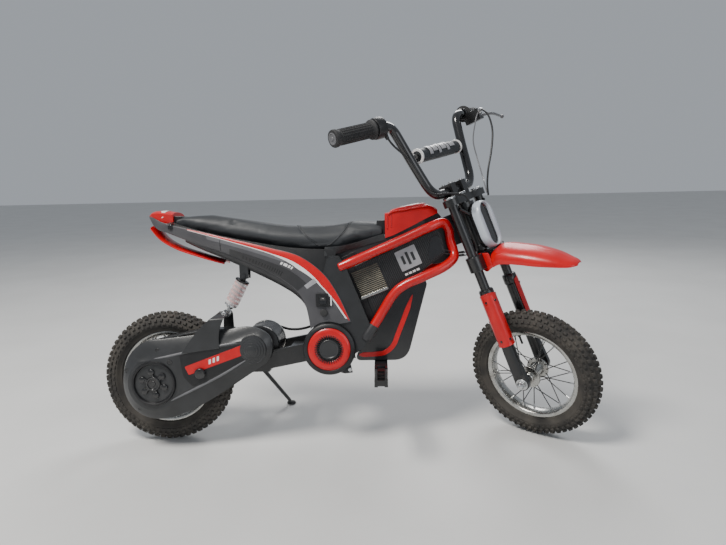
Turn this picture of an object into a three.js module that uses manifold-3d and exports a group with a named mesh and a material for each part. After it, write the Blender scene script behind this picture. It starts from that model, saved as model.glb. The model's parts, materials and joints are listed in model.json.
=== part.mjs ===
// Children's electric dirt bike: chain-driven rear wheel on a sprung swingarm,
// telescopic fork, standing on its kickstand with the handlebar turned to the right.
// Millimetres. Upright bike frame: +X forward, +Y to the rider's left, +Z up,
// with its zero under the rear axle. The steering frame has its zero on the steering
// axis beside the front axle: +X forward, +Y left, +Z up along the axis.
import * as THREE from 'three';
import { mergeVertices } from 'three/addons/utils/BufferGeometryUtils.js';
import Module from 'manifold-3d';

const wasm = await Module();
wasm.setup();

// Stance
const LEAN = THREE.MathUtils.degToRad(6);
const TURN = THREE.MathUtils.degToRad(40);
const RAKE = THREE.MathUtils.degToRad(21);
const WHEELBASE = 883;

// Wheels: 57-203 tyres on spoked rims
const TYRE_RADIUS = 158.5;
const TYRE_HALF_WIDTH = 28.5;
const RIM_FLANGE_RADIUS = 109.5;
const RIM_HALF_WIDTH = 17.8;
const RIM_INNER_RADIUS = 94.5;
const SPOKES_PER_SIDE = 12;
const AXLE_RADIUS = 6;
const GAP = 0.35;

// Steering and fork
const FORK_OFFSET = 10;
const FRONT_AXLE_HEIGHT = 157.9;
const LEG_SPACING = 61;
const LEG_RADIUS = 15;
const STANCHION_RADIUS = 11;
const LOWER_CLAMP_HEIGHT = [281, 316];
const HEAD_TUBE_HEIGHT = [320, 436];
const UPPER_CLAMP_HEIGHT = [440, 456];
const BAR_HEIGHT = 474;
const BAR_SET_BACK = -10;
const BAR_RADIUS = 11;
const CROSSBAR_HEIGHT = 573;
const CROSSBAR_REACH = 118;
const GRIP_INNER = [-15, 170, 652.2];
const GRIP_OUTER = [-46, 294, 655];
const LEVER_PIVOT = [24, 186, 627];

// Swingarm, drive and shock
const REAR_AXLE = [0, 158.5];
const PIVOT = [400, 235];
const MOTOR = [232, 237];
const MOTOR_RADIUS = 46;
const ARM_INNER = 57;
const ARM_OUTER = 69;
const CHAIN_LINE = -50;
const SPROCKET_RADIUS = 56;
const PINION_RADIUS = 14;
const SHOCK_Y = -42;
const SHOCK_CHEEK = 9.5;
const CHEEK_THICKNESS = 3.5;
const SHOCK_TOP = [203, 403];
const SHOCK_FOOT = [157, 315];
const STAND_PIVOT = [205, 74, 160];
const STAND_FOOT = [262, 196, 25.3];

// Chassis
const BODY_HALF_WIDTH = 46;
const LOOP_RADIUS = 11;
const LOOP_Y = 58;
const PLATE_INNER = 71;
const PLATE_OUTER = 75;
const PIVOT_COVER_RADIUS = 60;
const PEG_X = 517;
const PEG_HEIGHT = 188;
const PEG_ROOT = 106;
const PEG_TIP = 204;

// Finishes
const RED = { color: 0xe0161a, roughness: 0.32, metalness: 0.0 };
const BLACK_PLASTIC = { color: 0x1a1b1d, roughness: 0.5, metalness: 0.0 };
const GREY_PLASTIC = { color: 0x4a4b4e, roughness: 0.45, metalness: 0.0 };
const BLACK_STEEL = { color: 0x141415, roughness: 0.38, metalness: 0.6 };
const BRIGHT_STEEL = { color: 0xb9bcbf, roughness: 0.28, metalness: 1.0 };
const RUBBER = { color: 0x1d1c1b, roughness: 0.85, metalness: 0.0 };
const VINYL = { color: 0x232427, roughness: 0.55, metalness: 0.0 };
const SPRING_PAINT = { color: 0xd9b3b2, roughness: 0.35, metalness: 0.2 };
const PALE_LENS = { color: 0xc3c9cf, roughness: 0.3, metalness: 0.0 };

// ---------------------------------------------------------------- geometry helpers

function closed(geometry) {
  const bare = new THREE.BufferGeometry();
  bare.setAttribute('position', geometry.getAttribute('position'));
  if (geometry.index) {
    bare.setIndex(geometry.index);
  }
  const merged = mergeVertices(bare, 1e-3);
  const position = merged.getAttribute('position');
  const corner = [new THREE.Vector3(), new THREE.Vector3(), new THREE.Vector3()];
  const kept = [];
  let volume = 0;
  for (let i = 0; i < merged.index.count; i += 3) {
    const ids = [0, 1, 2].map((k) => merged.index.getX(i + k));
    if (new Set(ids).size < 3) {
      continue;
    }
    ids.forEach((id, k) => corner[k].fromBufferAttribute(position, id));
    volume += corner[0].dot(corner[1].clone().cross(corner[2]));
    kept.push(ids);
  }
  const facing = volume < 0 ? kept.map(([a, b, c]) => [a, c, b]) : kept;
  merged.setIndex(facing.flat());
  merged.computeVertexNormals();
  return merged;
}

function toSolid(geometry) {
  const clean = closed(geometry);
  return new wasm.Manifold(new wasm.Mesh({
    numProp: 3,
    vertProperties: new Float32Array(clean.getAttribute('position').array),
    triVerts: new Uint32Array(clean.index.array),
  }));
}

function toGeometry(solid) {
  const mesh = solid.getMesh();
  const geometry = new THREE.BufferGeometry();
  const position = new THREE.BufferAttribute(new Float32Array(mesh.vertProperties), 3);
  geometry.setAttribute('position', position);
  geometry.setIndex(Array.from(mesh.triVerts));
  return geometry;
}

function joined(...geometries) {
  return toGeometry(geometries.map(toSolid).reduce((all, next) => all.add(next)));
}

function cut(geometry, ...tools) {
  return toGeometry(tools.map(toSolid).reduce((left, tool) => left.subtract(tool), toSolid(geometry)));
}

// Outline through plain points, with straight sides.
function outline(points) {
  return new THREE.Shape(points.map(([x, z]) => new THREE.Vector2(x, z)));
}

// Outline around two circles and the straight sides that touch both.
function belt(a, radiusA, b, radiusB) {
  const along = Math.atan2(b[1] - a[1], b[0] - a[0]);
  const spread = Math.acos((radiusA - radiusB) / Math.hypot(b[0] - a[0], b[1] - a[1]));
  const shape = new THREE.Shape();
  shape.absarc(a[0], a[1], radiusA, along + spread, along + 2 * Math.PI - spread, false);
  shape.absarc(b[0], b[1], radiusB, along - spread, along + spread, false);
  return shape;
}

// Side-view shape given as (x, z), thick from one y to another.
function sidePlate(shape, yFrom, yTo, curveSegments = 6) {
  const depth = yTo - yFrom;
  const geometry = new THREE.ExtrudeGeometry(shape, { depth, bevelEnabled: false, curveSegments });
  geometry.rotateX(Math.PI / 2);
  return geometry.translate(0, yTo, 0);
}

// Plan-view shape given as (x, y), thick from one z to another.
function layer(shape, zFrom, zTo, curveSegments = 6) {
  const settings = { depth: zTo - zFrom, bevelEnabled: false, curveSegments };
  return new THREE.ExtrudeGeometry(shape, settings).translate(0, 0, zFrom);
}

// Turned about Y, from profile points (radius, y).
function turned(profile, segments = 24) {
  return new THREE.LatheGeometry(profile.map(([r, y]) => new THREE.Vector2(r, y)), segments);
}

// Ring about Y with a plain bore.
function sleeve(outer, inner, yFrom, yTo, segments = 24) {
  return turned([[inner, yFrom], [outer, yFrom], [outer, yTo], [inner, yTo], [inner, yFrom]], segments);
}

// Round bar along Y through (x, z).
function crossRod(radius, yFrom, yTo, x = 0, z = 0, segments = 16) {
  const geometry = new THREE.CylinderGeometry(radius, radius, yTo - yFrom, segments);
  return geometry.translate(x, (yFrom + yTo) / 2, z);
}

// Round bar along Z through (x, y).
function upRod(radius, zFrom, zTo, x = 0, y = 0, segments = 20) {
  const geometry = new THREE.CylinderGeometry(radius, radius, zTo - zFrom, segments);
  geometry.rotateX(Math.PI / 2);
  return geometry.translate(x, y, (zFrom + zTo) / 2);
}

function block(from, to) {
  const size = to.map((value, i) => value - from[i]);
  const middle = to.map((value, i) => (value + from[i]) / 2);
  return new THREE.BoxGeometry(...size).translate(...middle);
}

// Round bar between two points.
function strut(from, to, radius, sides = 12) {
  const a = new THREE.Vector3(...from);
  const b = new THREE.Vector3(...to);
  const geometry = new THREE.CylinderGeometry(radius, radius, a.distanceTo(b), sides);
  const turn = new THREE.Quaternion();
  turn.setFromUnitVectors(new THREE.Vector3(0, 1, 0), b.clone().sub(a).normalize());
  geometry.applyQuaternion(turn);
  return geometry.translate(...a.add(b).multiplyScalar(0.5).toArray());
}

function tube(points, radius, sides, steps) {
  const route = new THREE.CatmullRomCurve3(points.map((p) => new THREE.Vector3(...p)));
  const section = new THREE.Shape();
  section.absarc(0, 0, radius, 0, 2 * Math.PI, false);
  const ring = new THREE.Shape(section.getSpacedPoints(sides).slice(0, sides));
  return new THREE.ExtrudeGeometry(ring, { extrudePath: route, steps, bevelEnabled: false });
}

// Smooth values between rows of numbers, for a fraction from 0 to 1.
function stations(rows) {
  const row = (i) => rows[THREE.MathUtils.clamp(i, 0, rows.length - 1)];
  return (fraction) => {
    const place = fraction * (rows.length - 1);
    const i = Math.min(Math.floor(place), rows.length - 2);
    const t = place - i;
    return rows[0].map((_, c) => {
      const [a, b, d, e] = [row(i - 1)[c], row(i)[c], row(i + 1)[c], row(i + 2)[c]];
      const slopeIn = (d - a) / 2;
      const slopeOut = (e - b) / 2;
      const rise = d - b;
      const square = 3 * rise - 2 * slopeIn - slopeOut;
      const cube = slopeIn + slopeOut - 2 * rise;
      return b + t * (slopeIn + t * (square + t * cube));
    });
  };
}

// A block with its points moved by a rule, for bent sheets and cushions.
function shaped(nx, ny, nz, place) {
  const geometry = new THREE.BoxGeometry(1, 1, 1, nx, ny, nz);
  const position = geometry.getAttribute('position');
  for (let i = 0; i < position.count; i += 1) {
    const spot = [position.getX(i) + 0.5, position.getY(i) + 0.5, position.getZ(i) + 0.5];
    position.setXYZ(i, ...place(...spot));
  }
  return geometry;
}

function part(parent, name, geometry, finish) {
  const mesh = new THREE.Mesh(closed(geometry), new THREE.MeshStandardMaterial(finish));
  mesh.name = name;
  parent.add(mesh);
}

function frameAt(parent, name, position) {
  const group = new THREE.Group();
  group.name = name;
  group.position.set(...position);
  parent.add(group);
  return group;
}

// ---------------------------------------------------------------- wheels

function tyre() {
  const outside = [
    [102.6, 9.5], [102.6, 14], [110.4, 14.2], [122, 26.5],
    [140, TYRE_HALF_WIDTH], [154, 18], [TYRE_RADIUS, 5],
  ];
  const inside = [[148, 13]];
  const mirrored = (points) => points.map(([r, y]) => [r, -y]);
  const profile = [
    ...outside, ...mirrored(outside).reverse(), ...mirrored(inside).reverse(), ...inside,
  ];
  return turned([...profile, profile[0]], 36);
}

function rim() {
  const half = [
    [RIM_INNER_RADIUS, 5], [99, RIM_HALF_WIDTH], [RIM_FLANGE_RADIUS, RIM_HALF_WIDTH],
    [RIM_FLANGE_RADIUS, 15], [101.9, 14.7], [99, 8],
  ];
  const profile = [...half, ...half.map(([r, y]) => [r, -y]).reverse()];
  return turned([...profile, profile[0]], 36);
}

function spokes(flangeY) {
  const solids = [];
  const reach = RIM_INNER_RADIUS - 1.2;
  for (let i = 0; i < SPOKES_PER_SIDE; i += 1) {
    for (const side of [-1, 1]) {
      const step = (2 * Math.PI) / SPOKES_PER_SIDE;
      const lead = i % 2 ? 0.42 : -0.42;
      const start = i * step + (side > 0 ? step / 2 : 0);
      const from = [24 * Math.cos(start), side * flangeY, 24 * Math.sin(start)];
      const to = [reach * Math.cos(start + lead), side * 2, reach * Math.sin(start + lead)];
      solids.push(strut(from, to, 1.4, 3));
    }
  }
  return solids;
}

function frontHub() {
  const bore = AXLE_RADIUS + GAP;
  const half = [[14, 38], [14, 28], [26, 28], [26, 24], [15, 20]];
  const profile = [[bore, -38], ...half.map(([r, y]) => [r, -y]), ...half.reverse(), [bore, 38]];
  return joined(turned([...profile, profile[0]], 16), ...spokes(26));
}

// Hub with the drive sprocket on its right and the brake rotor on its left.
function rearHub() {
  const bore = AXLE_RADIUS + GAP;
  const profile = [
    [bore, -55], [15, -55], [15, -51.5], [SPROCKET_RADIUS - 1, -51.5], [SPROCKET_RADIUS - 1, -48.5],
    [18, -48.5], [18, -32], [26, -28], [26, -24], [15, -20], [15, 20], [26, 24], [26, 28],
    [18, 32], [18, 39], [48, 39], [48, 41.5], [15, 41.5], [15, 54], [bore, 54], [bore, -55],
  ];
  return joined(turned(profile, 20), ...spokes(26));
}

function axle(halfLength, clampAt) {
  const nut = (side) => {
    const far = clampAt + 9;
    return crossRod(10, Math.min(side * clampAt, side * far), Math.max(side * clampAt, side * far), 0, 0, 6);
  };
  return joined(crossRod(AXLE_RADIUS, -halfLength, halfLength), nut(1), nut(-1));
}

// ---------------------------------------------------------------- swingarm and drive

function swingarm() {
  const arm = belt(REAR_AXLE, 21, PIVOT, 20);
  const stand = block([188, 60, 156], [222, 65, 190]);
  const body = joined(
    sidePlate(arm, ARM_INNER, ARM_OUTER, 6),
    sidePlate(arm, -ARM_OUTER, -ARM_INNER, 6),
    crossRod(17, -60, 60, PIVOT[0], PIVOT[1], 16),
    block([300, -60, 208], [330, 60, 228]),
    block([206, -60, 178], [258, 60, 189]),
    stand,
  );
  return cut(
    body,
    crossRod(8 + GAP, -80, 80, PIVOT[0], PIVOT[1], 24),
    crossRod(AXLE_RADIUS + GAP, -80, 80, REAR_AXLE[0], REAR_AXLE[1], 24),
  );
}

function caseOutline() {
  const shape = new THREE.Shape();
  shape.moveTo(0, 75);
  shape.bezierCurveTo(-46, 75, -80, 112, -80, 160);
  shape.bezierCurveTo(-80, 214, -52, 254, -8, 260);
  shape.quadraticCurveTo(90, 268, 190, 286);
  shape.quadraticCurveTo(236, 294, 262, 268);
  shape.quadraticCurveTo(280, 240, 258, 206);
  shape.lineTo(168, 147);
  shape.quadraticCurveTo(60, 75, 0, 75);
  return shape;
}

// Chain case: base, inward top wall, raised cover, hub disc, motor cone and shock bracket.
function chainCase() {
  const topWall = shaped(6, 1, 1, (s, t, r) => {
    const x = -40 + 215 * s;
    const crest = 250 + 34 * Math.sin((Math.PI / 2) * Math.min(1, s * 1.08));
    return [x, -74 + 36 * t, crest - 6 + 4 * r];
  });
  const bracket = shaped(2, 4, 1, (s, t, r) => {
    const height = 226 + (320 - 226) * t;
    const left = 66 + (148 - 66) * t;
    const right = 150 + (168 - 150) * t;
    const inward = THREE.MathUtils.clamp((t - 0.5) / 0.25, 0, 1);
    return [left + (right - left) * s, -84 + 22 * inward + 3.5 * r, height + 14 * s];
  });
  const ridge = outline([[-34, 212], [60, 232], [222, 262], [250, 214], [213, 205], [44, 118]]);
  const body = joined(
    sidePlate(caseOutline(), -82, -72.5, 8),
    topWall,
    sidePlate(ridge, -94, -81.5),
    crossRod(60, -94, -81.5, REAR_AXLE[0], REAR_AXLE[1], 32),
    crossRod(50, -99, -93.5, REAR_AXLE[0], REAR_AXLE[1], 32),
    turned([[0, -104], [7, -103], [14, -98], [31, -95], [33, -81.5], [0, -81.5], [0, -104]], 24)
      .translate(MOTOR[0] - 14, 0, MOTOR[1] - 2),
    bracket,
    block([146, SHOCK_Y + SHOCK_CHEEK, 268], [168, SHOCK_Y + SHOCK_CHEEK + 3, 322]),
    crossRod(4, -66, SHOCK_Y + 15, SHOCK_FOOT[0], SHOCK_FOOT[1], 12),
  );
  return cut(body, crossRod(11.5, -80, -72, REAR_AXLE[0], REAR_AXLE[1], 16));
}

function motorCan() {
  const bore = 4 + GAP;
  const wall = MOTOR_RADIUS - 4;
  return turned([
    [bore, -43], [MOTOR_RADIUS - 3, -43], [MOTOR_RADIUS, -40], [MOTOR_RADIUS, 48], [0, 48],
    [0, 44], [wall, 44], [wall, -38], [bore, -38], [bore, -43],
  ], 32);
}

function motorRotor() {
  return turned([
    [0, -54], [PINION_RADIUS - 1, -54], [PINION_RADIUS - 1, -46.5], [4, -46.5], [4, -34],
    [34, -30], [34, 34], [0, 38],
  ], 20);
}

function driveChain() {
  const loop = belt(REAR_AXLE, SPROCKET_RADIUS + 5, MOTOR, PINION_RADIUS + 5);
  const inner = belt(REAR_AXLE, SPROCKET_RADIUS - 0.4, MOTOR, PINION_RADIUS - 0.4);
  return cut(
    sidePlate(loop, CHAIN_LINE - 3.5, CHAIN_LINE + 3.5, 8),
    sidePlate(inner, CHAIN_LINE - 5, CHAIN_LINE + 5, 8),
  );
}

function brakeCaliper() {
  const body = joined(
    block([28, 34, 196], [62, 50, 222]),
    block([30, 49, 178], [60, 56.6, 214]),
  );
  return cut(body, block([10, 37, 150], [64, 43.5, 209]));
}

function brakeArm() {
  return joined(
    crossRod(7, 50.4, 56, 0, 0, 12),
    sidePlate(belt([0, 0], 5, [10, 34], 4), 50.4, 54),
  );
}

function kickstand() {
  const reach = STAND_FOOT.map((value, i) => value - STAND_PIVOT[i]);
  const pad = reach.map((value) => value * 0.985);
  return joined(
    new THREE.SphereGeometry(8.4, 12, 8),
    strut([0, 0, 0], pad, 5, 10),
    new THREE.CylinderGeometry(9, 12, 8, 12).rotateX(Math.PI / 2).translate(...reach),
  );
}

// ---------------------------------------------------------------- shock, hung from its top eye

function shockBody() {
  const shell = joined(
    crossRod(9, -7, 7, 0, 0, 16),
    upRod(9, -52, -12, 0, 0, 16),
    upRod(6, -14, -3, 0, 0, 12),
    upRod(17, -17, -13, 0, 0, 20),
  );
  return cut(shell, crossRod(4 + GAP, -9, 9, 0, 0, 12), upRod(4 + GAP, -55, -19, 0, 0, 12));
}

function shockRod(length) {
  const rod = joined(
    crossRod(9, -7, 7, 0, -length, 16),
    upRod(4, -length + 3, -42.5, 0, 0, 12),
    upRod(15, -80, -76, 0, 0, 20),
  );
  return cut(rod, crossRod(4.8, -9, 9, 0, -length, 16));
}

function shockSpring() {
  return sleeve(16.5, 11, -75.6, -17.4, 20).rotateX(Math.PI / 2);
}

// ---------------------------------------------------------------- chassis

function headTube(origin) {
  const [low, high] = HEAD_TUBE_HEIGHT;
  const shell = joined(
    upRod(20, low, high),
    upRod(23, low, low + 12),
    upRod(23, high - 12, high),
    block([-62, -14, 352], [-8, 14, 424]),
  );
  const geometry = cut(shell, upRod(13 + GAP, low - 5, high + 5));
  return geometry.rotateY(-RAKE).translate(...origin);
}

function mainFrame() {
  const rail = (side) => tube([
    [418, side * 38, 434], [330, side * 40, 440], [220, side * 42, 462],
    [110, side * 36, 490], [36, side * 27, 508],
  ], 9, 8, 10);
  const upright = () => {
    const shape = new THREE.Shape();
    shape.moveTo(398, 440);
    shape.lineTo(452, 452);
    shape.lineTo(470, 424);
    shape.lineTo(508, 280);
    shape.lineTo(480, 236);
    shape.absarc(PIVOT[0], PIVOT[1], 56, -0.3, -0.6, true);
    shape.lineTo(452, 178);
    shape.lineTo(434, 176);
    shape.absarc(PIVOT[0], PIVOT[1], 56, -1.3, -4.1, true);
    shape.lineTo(396, 300);
    shape.lineTo(384, 392);
    return shape;
  };
  const saddle = outline([
    [398, 450], [470, 466], [531, 483], [600, 514], [622, 524], [622, 512], [560, 486],
    [440, 434], [398, 422],
  ]);
  const nose = outline([[560, 496], [655, 540], [664, 529], [560, 486]]);
  const cheek = (near) => {
    const edges = [near, near + Math.sign(near) * CHEEK_THICKNESS].map((y) => SHOCK_Y + y);
    return block([193, Math.min(...edges), 396], [213, Math.max(...edges), 462]);
  };
  const cheekReach = SHOCK_CHEEK + CHEEK_THICKNESS;
  const body = joined(
    sidePlate(saddle, -BODY_HALF_WIDTH + 3, BODY_HALF_WIDTH - 3),
    sidePlate(nose, -16, 16),
    sidePlate(upright(), PLATE_INNER, PLATE_OUTER),
    sidePlate(upright(), -PLATE_OUTER, -PLATE_INNER),
    block([402, -74, 433], [424, 74, 446]),
    rail(1),
    rail(-1),
    crossRod(7, -33, 33, 110, 488, 8),
    crossRod(7, -24, 24, 40, 506, 8),
    cheek(-SHOCK_CHEEK),
    cheek(SHOCK_CHEEK),
    block([193, SHOCK_Y - cheekReach, 424], [213, SHOCK_Y + cheekReach, 462]),
    crossRod(4, SHOCK_Y - 17, SHOCK_Y + 15, SHOCK_TOP[0], SHOCK_TOP[1], 12),
  );
  return cut(body, crossRod(8 + GAP, -80, 80, PIVOT[0], PIVOT[1], 24));
}

function frameLoop(side) {
  const route = [
    [430, LOOP_Y, 419], [500, LOOP_Y, 450], [570, LOOP_Y, 480], [632, 55, 507], [664, 42, 516],
    [678, 30, 500], [682, 26, 476], [689, 29, 452], [688, 38, 434], [664, 50, 415],
    [621, 57, 396], [572, LOOP_Y, 375], [546, LOOP_Y, 352], [520, LOOP_Y, 312], [496, LOOP_Y, 273],
  ];
  return tube(route.map(([x, y, z]) => [x, side * y, z]), LOOP_RADIUS, 8, 36);
}

function batteryHousing() {
  const shell = outline([
    [458, 420], [560, 464], [648, 502], [658, 490], [668, 448], [612, 404], [562, 380],
    [537, 352], [504, 296],
  ]);
  const pocket = outline([[474, 434], [576, 480], [640, 508], [638, 436], [600, 410], [510, 362]]);
  return cut(
    sidePlate(shell, -BODY_HALF_WIDTH, BODY_HALF_WIDTH),
    sidePlate(pocket, -BODY_HALF_WIDTH + 4, BODY_HALF_WIDTH - 4),
  );
}

function batteryPack() {
  return new THREE.BoxGeometry(118, 76, 42).rotateY(-Math.atan2(46, 102)).translate(566, 0, 432);
}

function tankCover() {
  const rows = stations([
    [531, 540, 490, 45, 38], [552, 544, 497, 46, 38], [592, 552, 516, 44, 34],
    [626, 559, 533, 38, 28], [653, 549, 545, 28, 20],
  ]);
  return shaped(8, 10, 1, (s, t, r) => {
    const [x, top, bottom, wide, narrow] = rows(s);
    const wall = 3.2 * (1 - r);
    const across = 2 * t - 1;
    const side = Math.abs(across);
    const climb = side < 0.6 ? 1 : 1 - (side - 0.6) / 0.4;
    const half = (side < 0.6 ? narrow * (side / 0.6) : narrow + (wide - narrow) * (1 - climb)) - wall;
    const crown = 2 * (1 - (side * side));
    return [x, Math.sign(across) * Math.max(half, 0), bottom + (top - wall - bottom) * climb + crown];
  });
}

function seat() {
  const rows = stations([
    [40, 548, 531, 38], [95, 546, 515, 50], [160, 536, 501, 58], [225, 526, 489, 62],
    [308, 514, 473, 64], [402, 513, 460, 60], [461, 522, 469, 52], [510, 530, 483, 44],
    [527, 527, 488, 41],
  ]);
  return shaped(14, 8, 3, (s, t, r) => {
    const [x, top, bottom, half] = rows(s);
    const across = 2 * t - 1;
    const tuck = 1 - 0.1 * r * r - 0.04 * (1 - r);
    const crown = (top - bottom) * 0.28 * Math.pow(Math.abs(across), 2.6) * r;
    return [x, half * tuck * across, bottom + (top - bottom) * r - crown];
  });
}

function sidePanel(side) {
  const rows = stations([
    [22, 525, 44, 20, 506, 42], [80, 512, 52, 92, 478, 50], [180, 488, 60, 175, 449, 57],
    [270, 466, 67, 246, 419, 64], [337, 446, 74, 296, 392, 70], [391, 405, 79, 331, 364, 77],
    [424, 354, 79, 349, 330, 79], [450, 296, 79, 358, 280, 79],
  ]);
  const sheet = shaped(16, 3, 1, (s, t, r) => {
    const [upperX, upperZ, upperY, lowerX, lowerZ, lowerY] = rows(s);
    const bulge = 4 * Math.sin(Math.PI * t) * Math.sin(Math.PI * Math.min(1, 1.35 * s));
    const y = lowerY + (upperY - lowerY) * t + Math.max(0, bulge) - 3 * (1 - r);
    return [lowerX + (upperX - lowerX) * t, side * y, lowerZ + (upperZ - lowerZ) * t];
  });
  const clear = crossRod(PIVOT_COVER_RADIUS + 1, -95, 95, PIVOT[0], PIVOT[1], 32);
  return cut(sheet, clear);
}

function tailCap() {
  const rows = stations([
    [-28, 551, 545, 18], [-16, 557, 536, 30], [6, 558, 527, 37], [36, 554, 530, 39],
  ]);
  return shaped(5, 4, 1, (s, t, r) => {
    const [x, top, bottom, half] = rows(s);
    const across = 2 * t - 1;
    return [x, half * across, bottom + (top - bottom) * r - 5 * across * across * r];
  });
}

function rearMudguard() {
  const rows = stations([[-20, 524], [2, 498], [38, 476], [84, 459], [150, 438]]);
  return shaped(8, 4, 1, (s, t, r) => {
    const [x, z] = rows(s);
    const across = 2 * t - 1;
    return [x, 34 * across, z - 6 * across * across - 4 * (1 - r)];
  });
}

function bellyCover() {
  const shape = new THREE.Shape();
  shape.moveTo(494, 262);
  shape.lineTo(462, 214);
  shape.quadraticCurveTo(456, 199, 470, 198.6);
  shape.lineTo(550, 198.6);
  shape.quadraticCurveTo(578, 200, 586, 228);
  shape.lineTo(606, 304);
  shape.lineTo(626, 376);
  shape.lineTo(618, 402);
  shape.lineTo(565, 377);
  shape.lineTo(541, 350);
  shape.lineTo(500, 285);
  const pocket = outline([[500, 262], [490, 222], [566, 222], [590, 320], [586, 400], [556, 400]]);
  return cut(
    sidePlate(shape, -BODY_HALF_WIDTH + 1, BODY_HALF_WIDTH - 1),
    sidePlate(pocket, -BODY_HALF_WIDTH + 5, BODY_HALF_WIDTH - 5),
  );
}

function pivotCover(side) {
  const radius = PIVOT_COVER_RADIUS;
  const inner = PLATE_OUTER + 0.8;
  const profile = [[0, inner], [radius, inner], [radius, 83], [radius - 5, 88], [26, 88], [23, 91], [0, 91]];
  return turned(profile.map(([r, y]) => [r, side * y]), 32).translate(PIVOT[0], 0, PIVOT[1]);
}

function footpegBar() {
  const half = PEG_ROOT - 1;
  const ear = (side) => joined(
    block([PEG_X - 15, side > 0 ? 80 : -half - 6, 179], [PEG_X - 9.4, side > 0 ? half + 6 : -80, 197]),
    block([PEG_X + 9.4, side > 0 ? 80 : -half - 6, 179], [PEG_X + 15, side > 0 ? half + 6 : -80, 197]),
  );
  return joined(block([PEG_X - 15, -92, 179], [PEG_X + 15, 92, 197.6]), ear(1), ear(-1));
}

function footpeg(side) {
  const length = PEG_TIP - PEG_ROOT;
  const rails = [-10.5, 10.5].map((x) => block([x - 3.5, 12, -8], [x + 3.5, length, 8]));
  const rungs = [14, 42, 70, length - 6].map((y) => block([-12, y, -6], [12, y + 6, 6]));
  const body = joined(crossRod(6, -7, 12), block([-8.6, -6, -6], [8.6, 16, 6]), ...rails, ...rungs);
  return side > 0 ? body : body.rotateZ(Math.PI);
}

// ---------------------------------------------------------------- steering assembly

function clampPlate(zFrom, zTo, boss) {
  const pieces = [-1, 1].map((side) => {
    const shape = belt([0, 0], 24, [FORK_OFFSET - 2, side * LEG_SPACING], boss);
    return layer(shape, zFrom, zTo, 6);
  });
  return joined(...pieces);
}

function legBore(side, radius, zFrom, zTo) {
  return upRod(radius, zFrom, zTo, FORK_OFFSET - 2, side * LEG_SPACING, 20);
}

function steeringStem() {
  const [low, high] = LOWER_CLAMP_HEIGHT;
  const body = joined(clampPlate(low, high, 18), upRod(13, low + 4, UPPER_CLAMP_HEIGHT[1] + 3));
  const bore = STANCHION_RADIUS + GAP;
  return cut(body, legBore(1, bore, low - 5, high + 5), legBore(-1, bore, low - 5, high + 5));
}

function upperClamp() {
  const [low, high] = UPPER_CLAMP_HEIGHT;
  const riser = (side) => block(
    [BAR_SET_BACK - 17, side * 24 - 10, high - 2],
    [BAR_SET_BACK + 17, side * 24 + 10, BAR_HEIGHT + 17],
  );
  const bore = STANCHION_RADIUS + GAP;
  return cut(
    joined(clampPlate(low, high, 19), riser(1), riser(-1)),
    upRod(13 + GAP, low - 5, high + 6),
    legBore(1, bore, low - 5, high + 5),
    legBore(-1, bore, low - 5, high + 5),
    crossRod(BAR_RADIUS + 1, -60, 60, BAR_SET_BACK, BAR_HEIGHT, 20),
  );
}

function forkTube(side) {
  return legBore(side, STANCHION_RADIUS, 62, UPPER_CLAMP_HEIGHT[1] + 2);
}

function handlebar() {
  const half = [
    [BAR_SET_BACK, 50, BAR_HEIGHT], [-11, 76, 478], [-12, 95, 496], [-13, 106, 528],
    [-14, CROSSBAR_REACH, CROSSBAR_HEIGHT], [-14, 129, 614], [-14, 136, 636], [-14, 148, 648],
    GRIP_INNER, [-30, 230, 653.5], GRIP_OUTER,
  ];
  const other = half.map(([x, y, z]) => [x, -y, z]).reverse();
  const route = [...other, [BAR_SET_BACK, 0, BAR_HEIGHT], ...half];
  const brace = crossRod(7, -CROSSBAR_REACH, CROSSBAR_REACH, -14, CROSSBAR_HEIGHT, 12);
  return joined(tube(route, BAR_RADIUS, 8, 52), brace);
}

function crossbarPad() {
  const bore = 7 + GAP;
  const half = [[15, 88], [17.5, 84], [18, 40]];
  const profile = [[bore, -88], ...half.map(([r, y]) => [r, -y]), ...half.reverse(), [bore, 88]];
  return turned([...profile, profile[0]], 16).translate(-14, 0, CROSSBAR_HEIGHT);
}

// Sleeve on the straight end of the bar; distances run outward from the grip's inner point.
function onGrip(profile, side, segments = 16) {
  const inner = new THREE.Vector3(GRIP_INNER[0], side * GRIP_INNER[1], GRIP_INNER[2]);
  const outer = new THREE.Vector3(GRIP_OUTER[0], side * GRIP_OUTER[1], GRIP_OUTER[2]);
  const turn = new THREE.Quaternion();
  turn.setFromUnitVectors(new THREE.Vector3(0, 1, 0), outer.clone().sub(inner).normalize());
  return turned(profile, segments).applyQuaternion(turn).translate(...inner.toArray());
}

function handGrip(side) {
  const bore = BAR_RADIUS + 1.2;
  const length = 130;
  return onGrip([
    [bore, 26], [20, 26], [20, 31], [15.5, 33], [16.5, 85], [18, 124], [16, length], [0, length],
    [0, length - 1.5], [bore, length - 1.5], [bore, 26],
  ], side);
}

function gripClamp(side, from, to, radius, bore = BAR_RADIUS + 1.2) {
  return onGrip([[bore, from], [radius, from], [radius, to], [bore, to], [bore, from]], side);
}

function brakePerch() {
  return cut(
    joined(gripClamp(1, 6, 22, 15), block([-12, 172, 618], [32, 192, 646])),
    gripClamp(1, -6, 40, BAR_RADIUS + 1.3, 0),
    block([14, 178, 623.1], [44, 198, 630.9]),
  );
}

function brakeLever() {
  return joined(
    upRod(5, -2.6, 2.6, 0, 0, 12),
    tube([[0, 0, 0], [12, 22, -1], [14, 50, -4], [9, 84, -9], [3, 116, -13]], 2.6, 8, 9),
    new THREE.SphereGeometry(5, 8, 6).translate(3, 117, -13),
  );
}

function throttleHousing() {
  return gripClamp(-1, 0, 24, 23);
}

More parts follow.
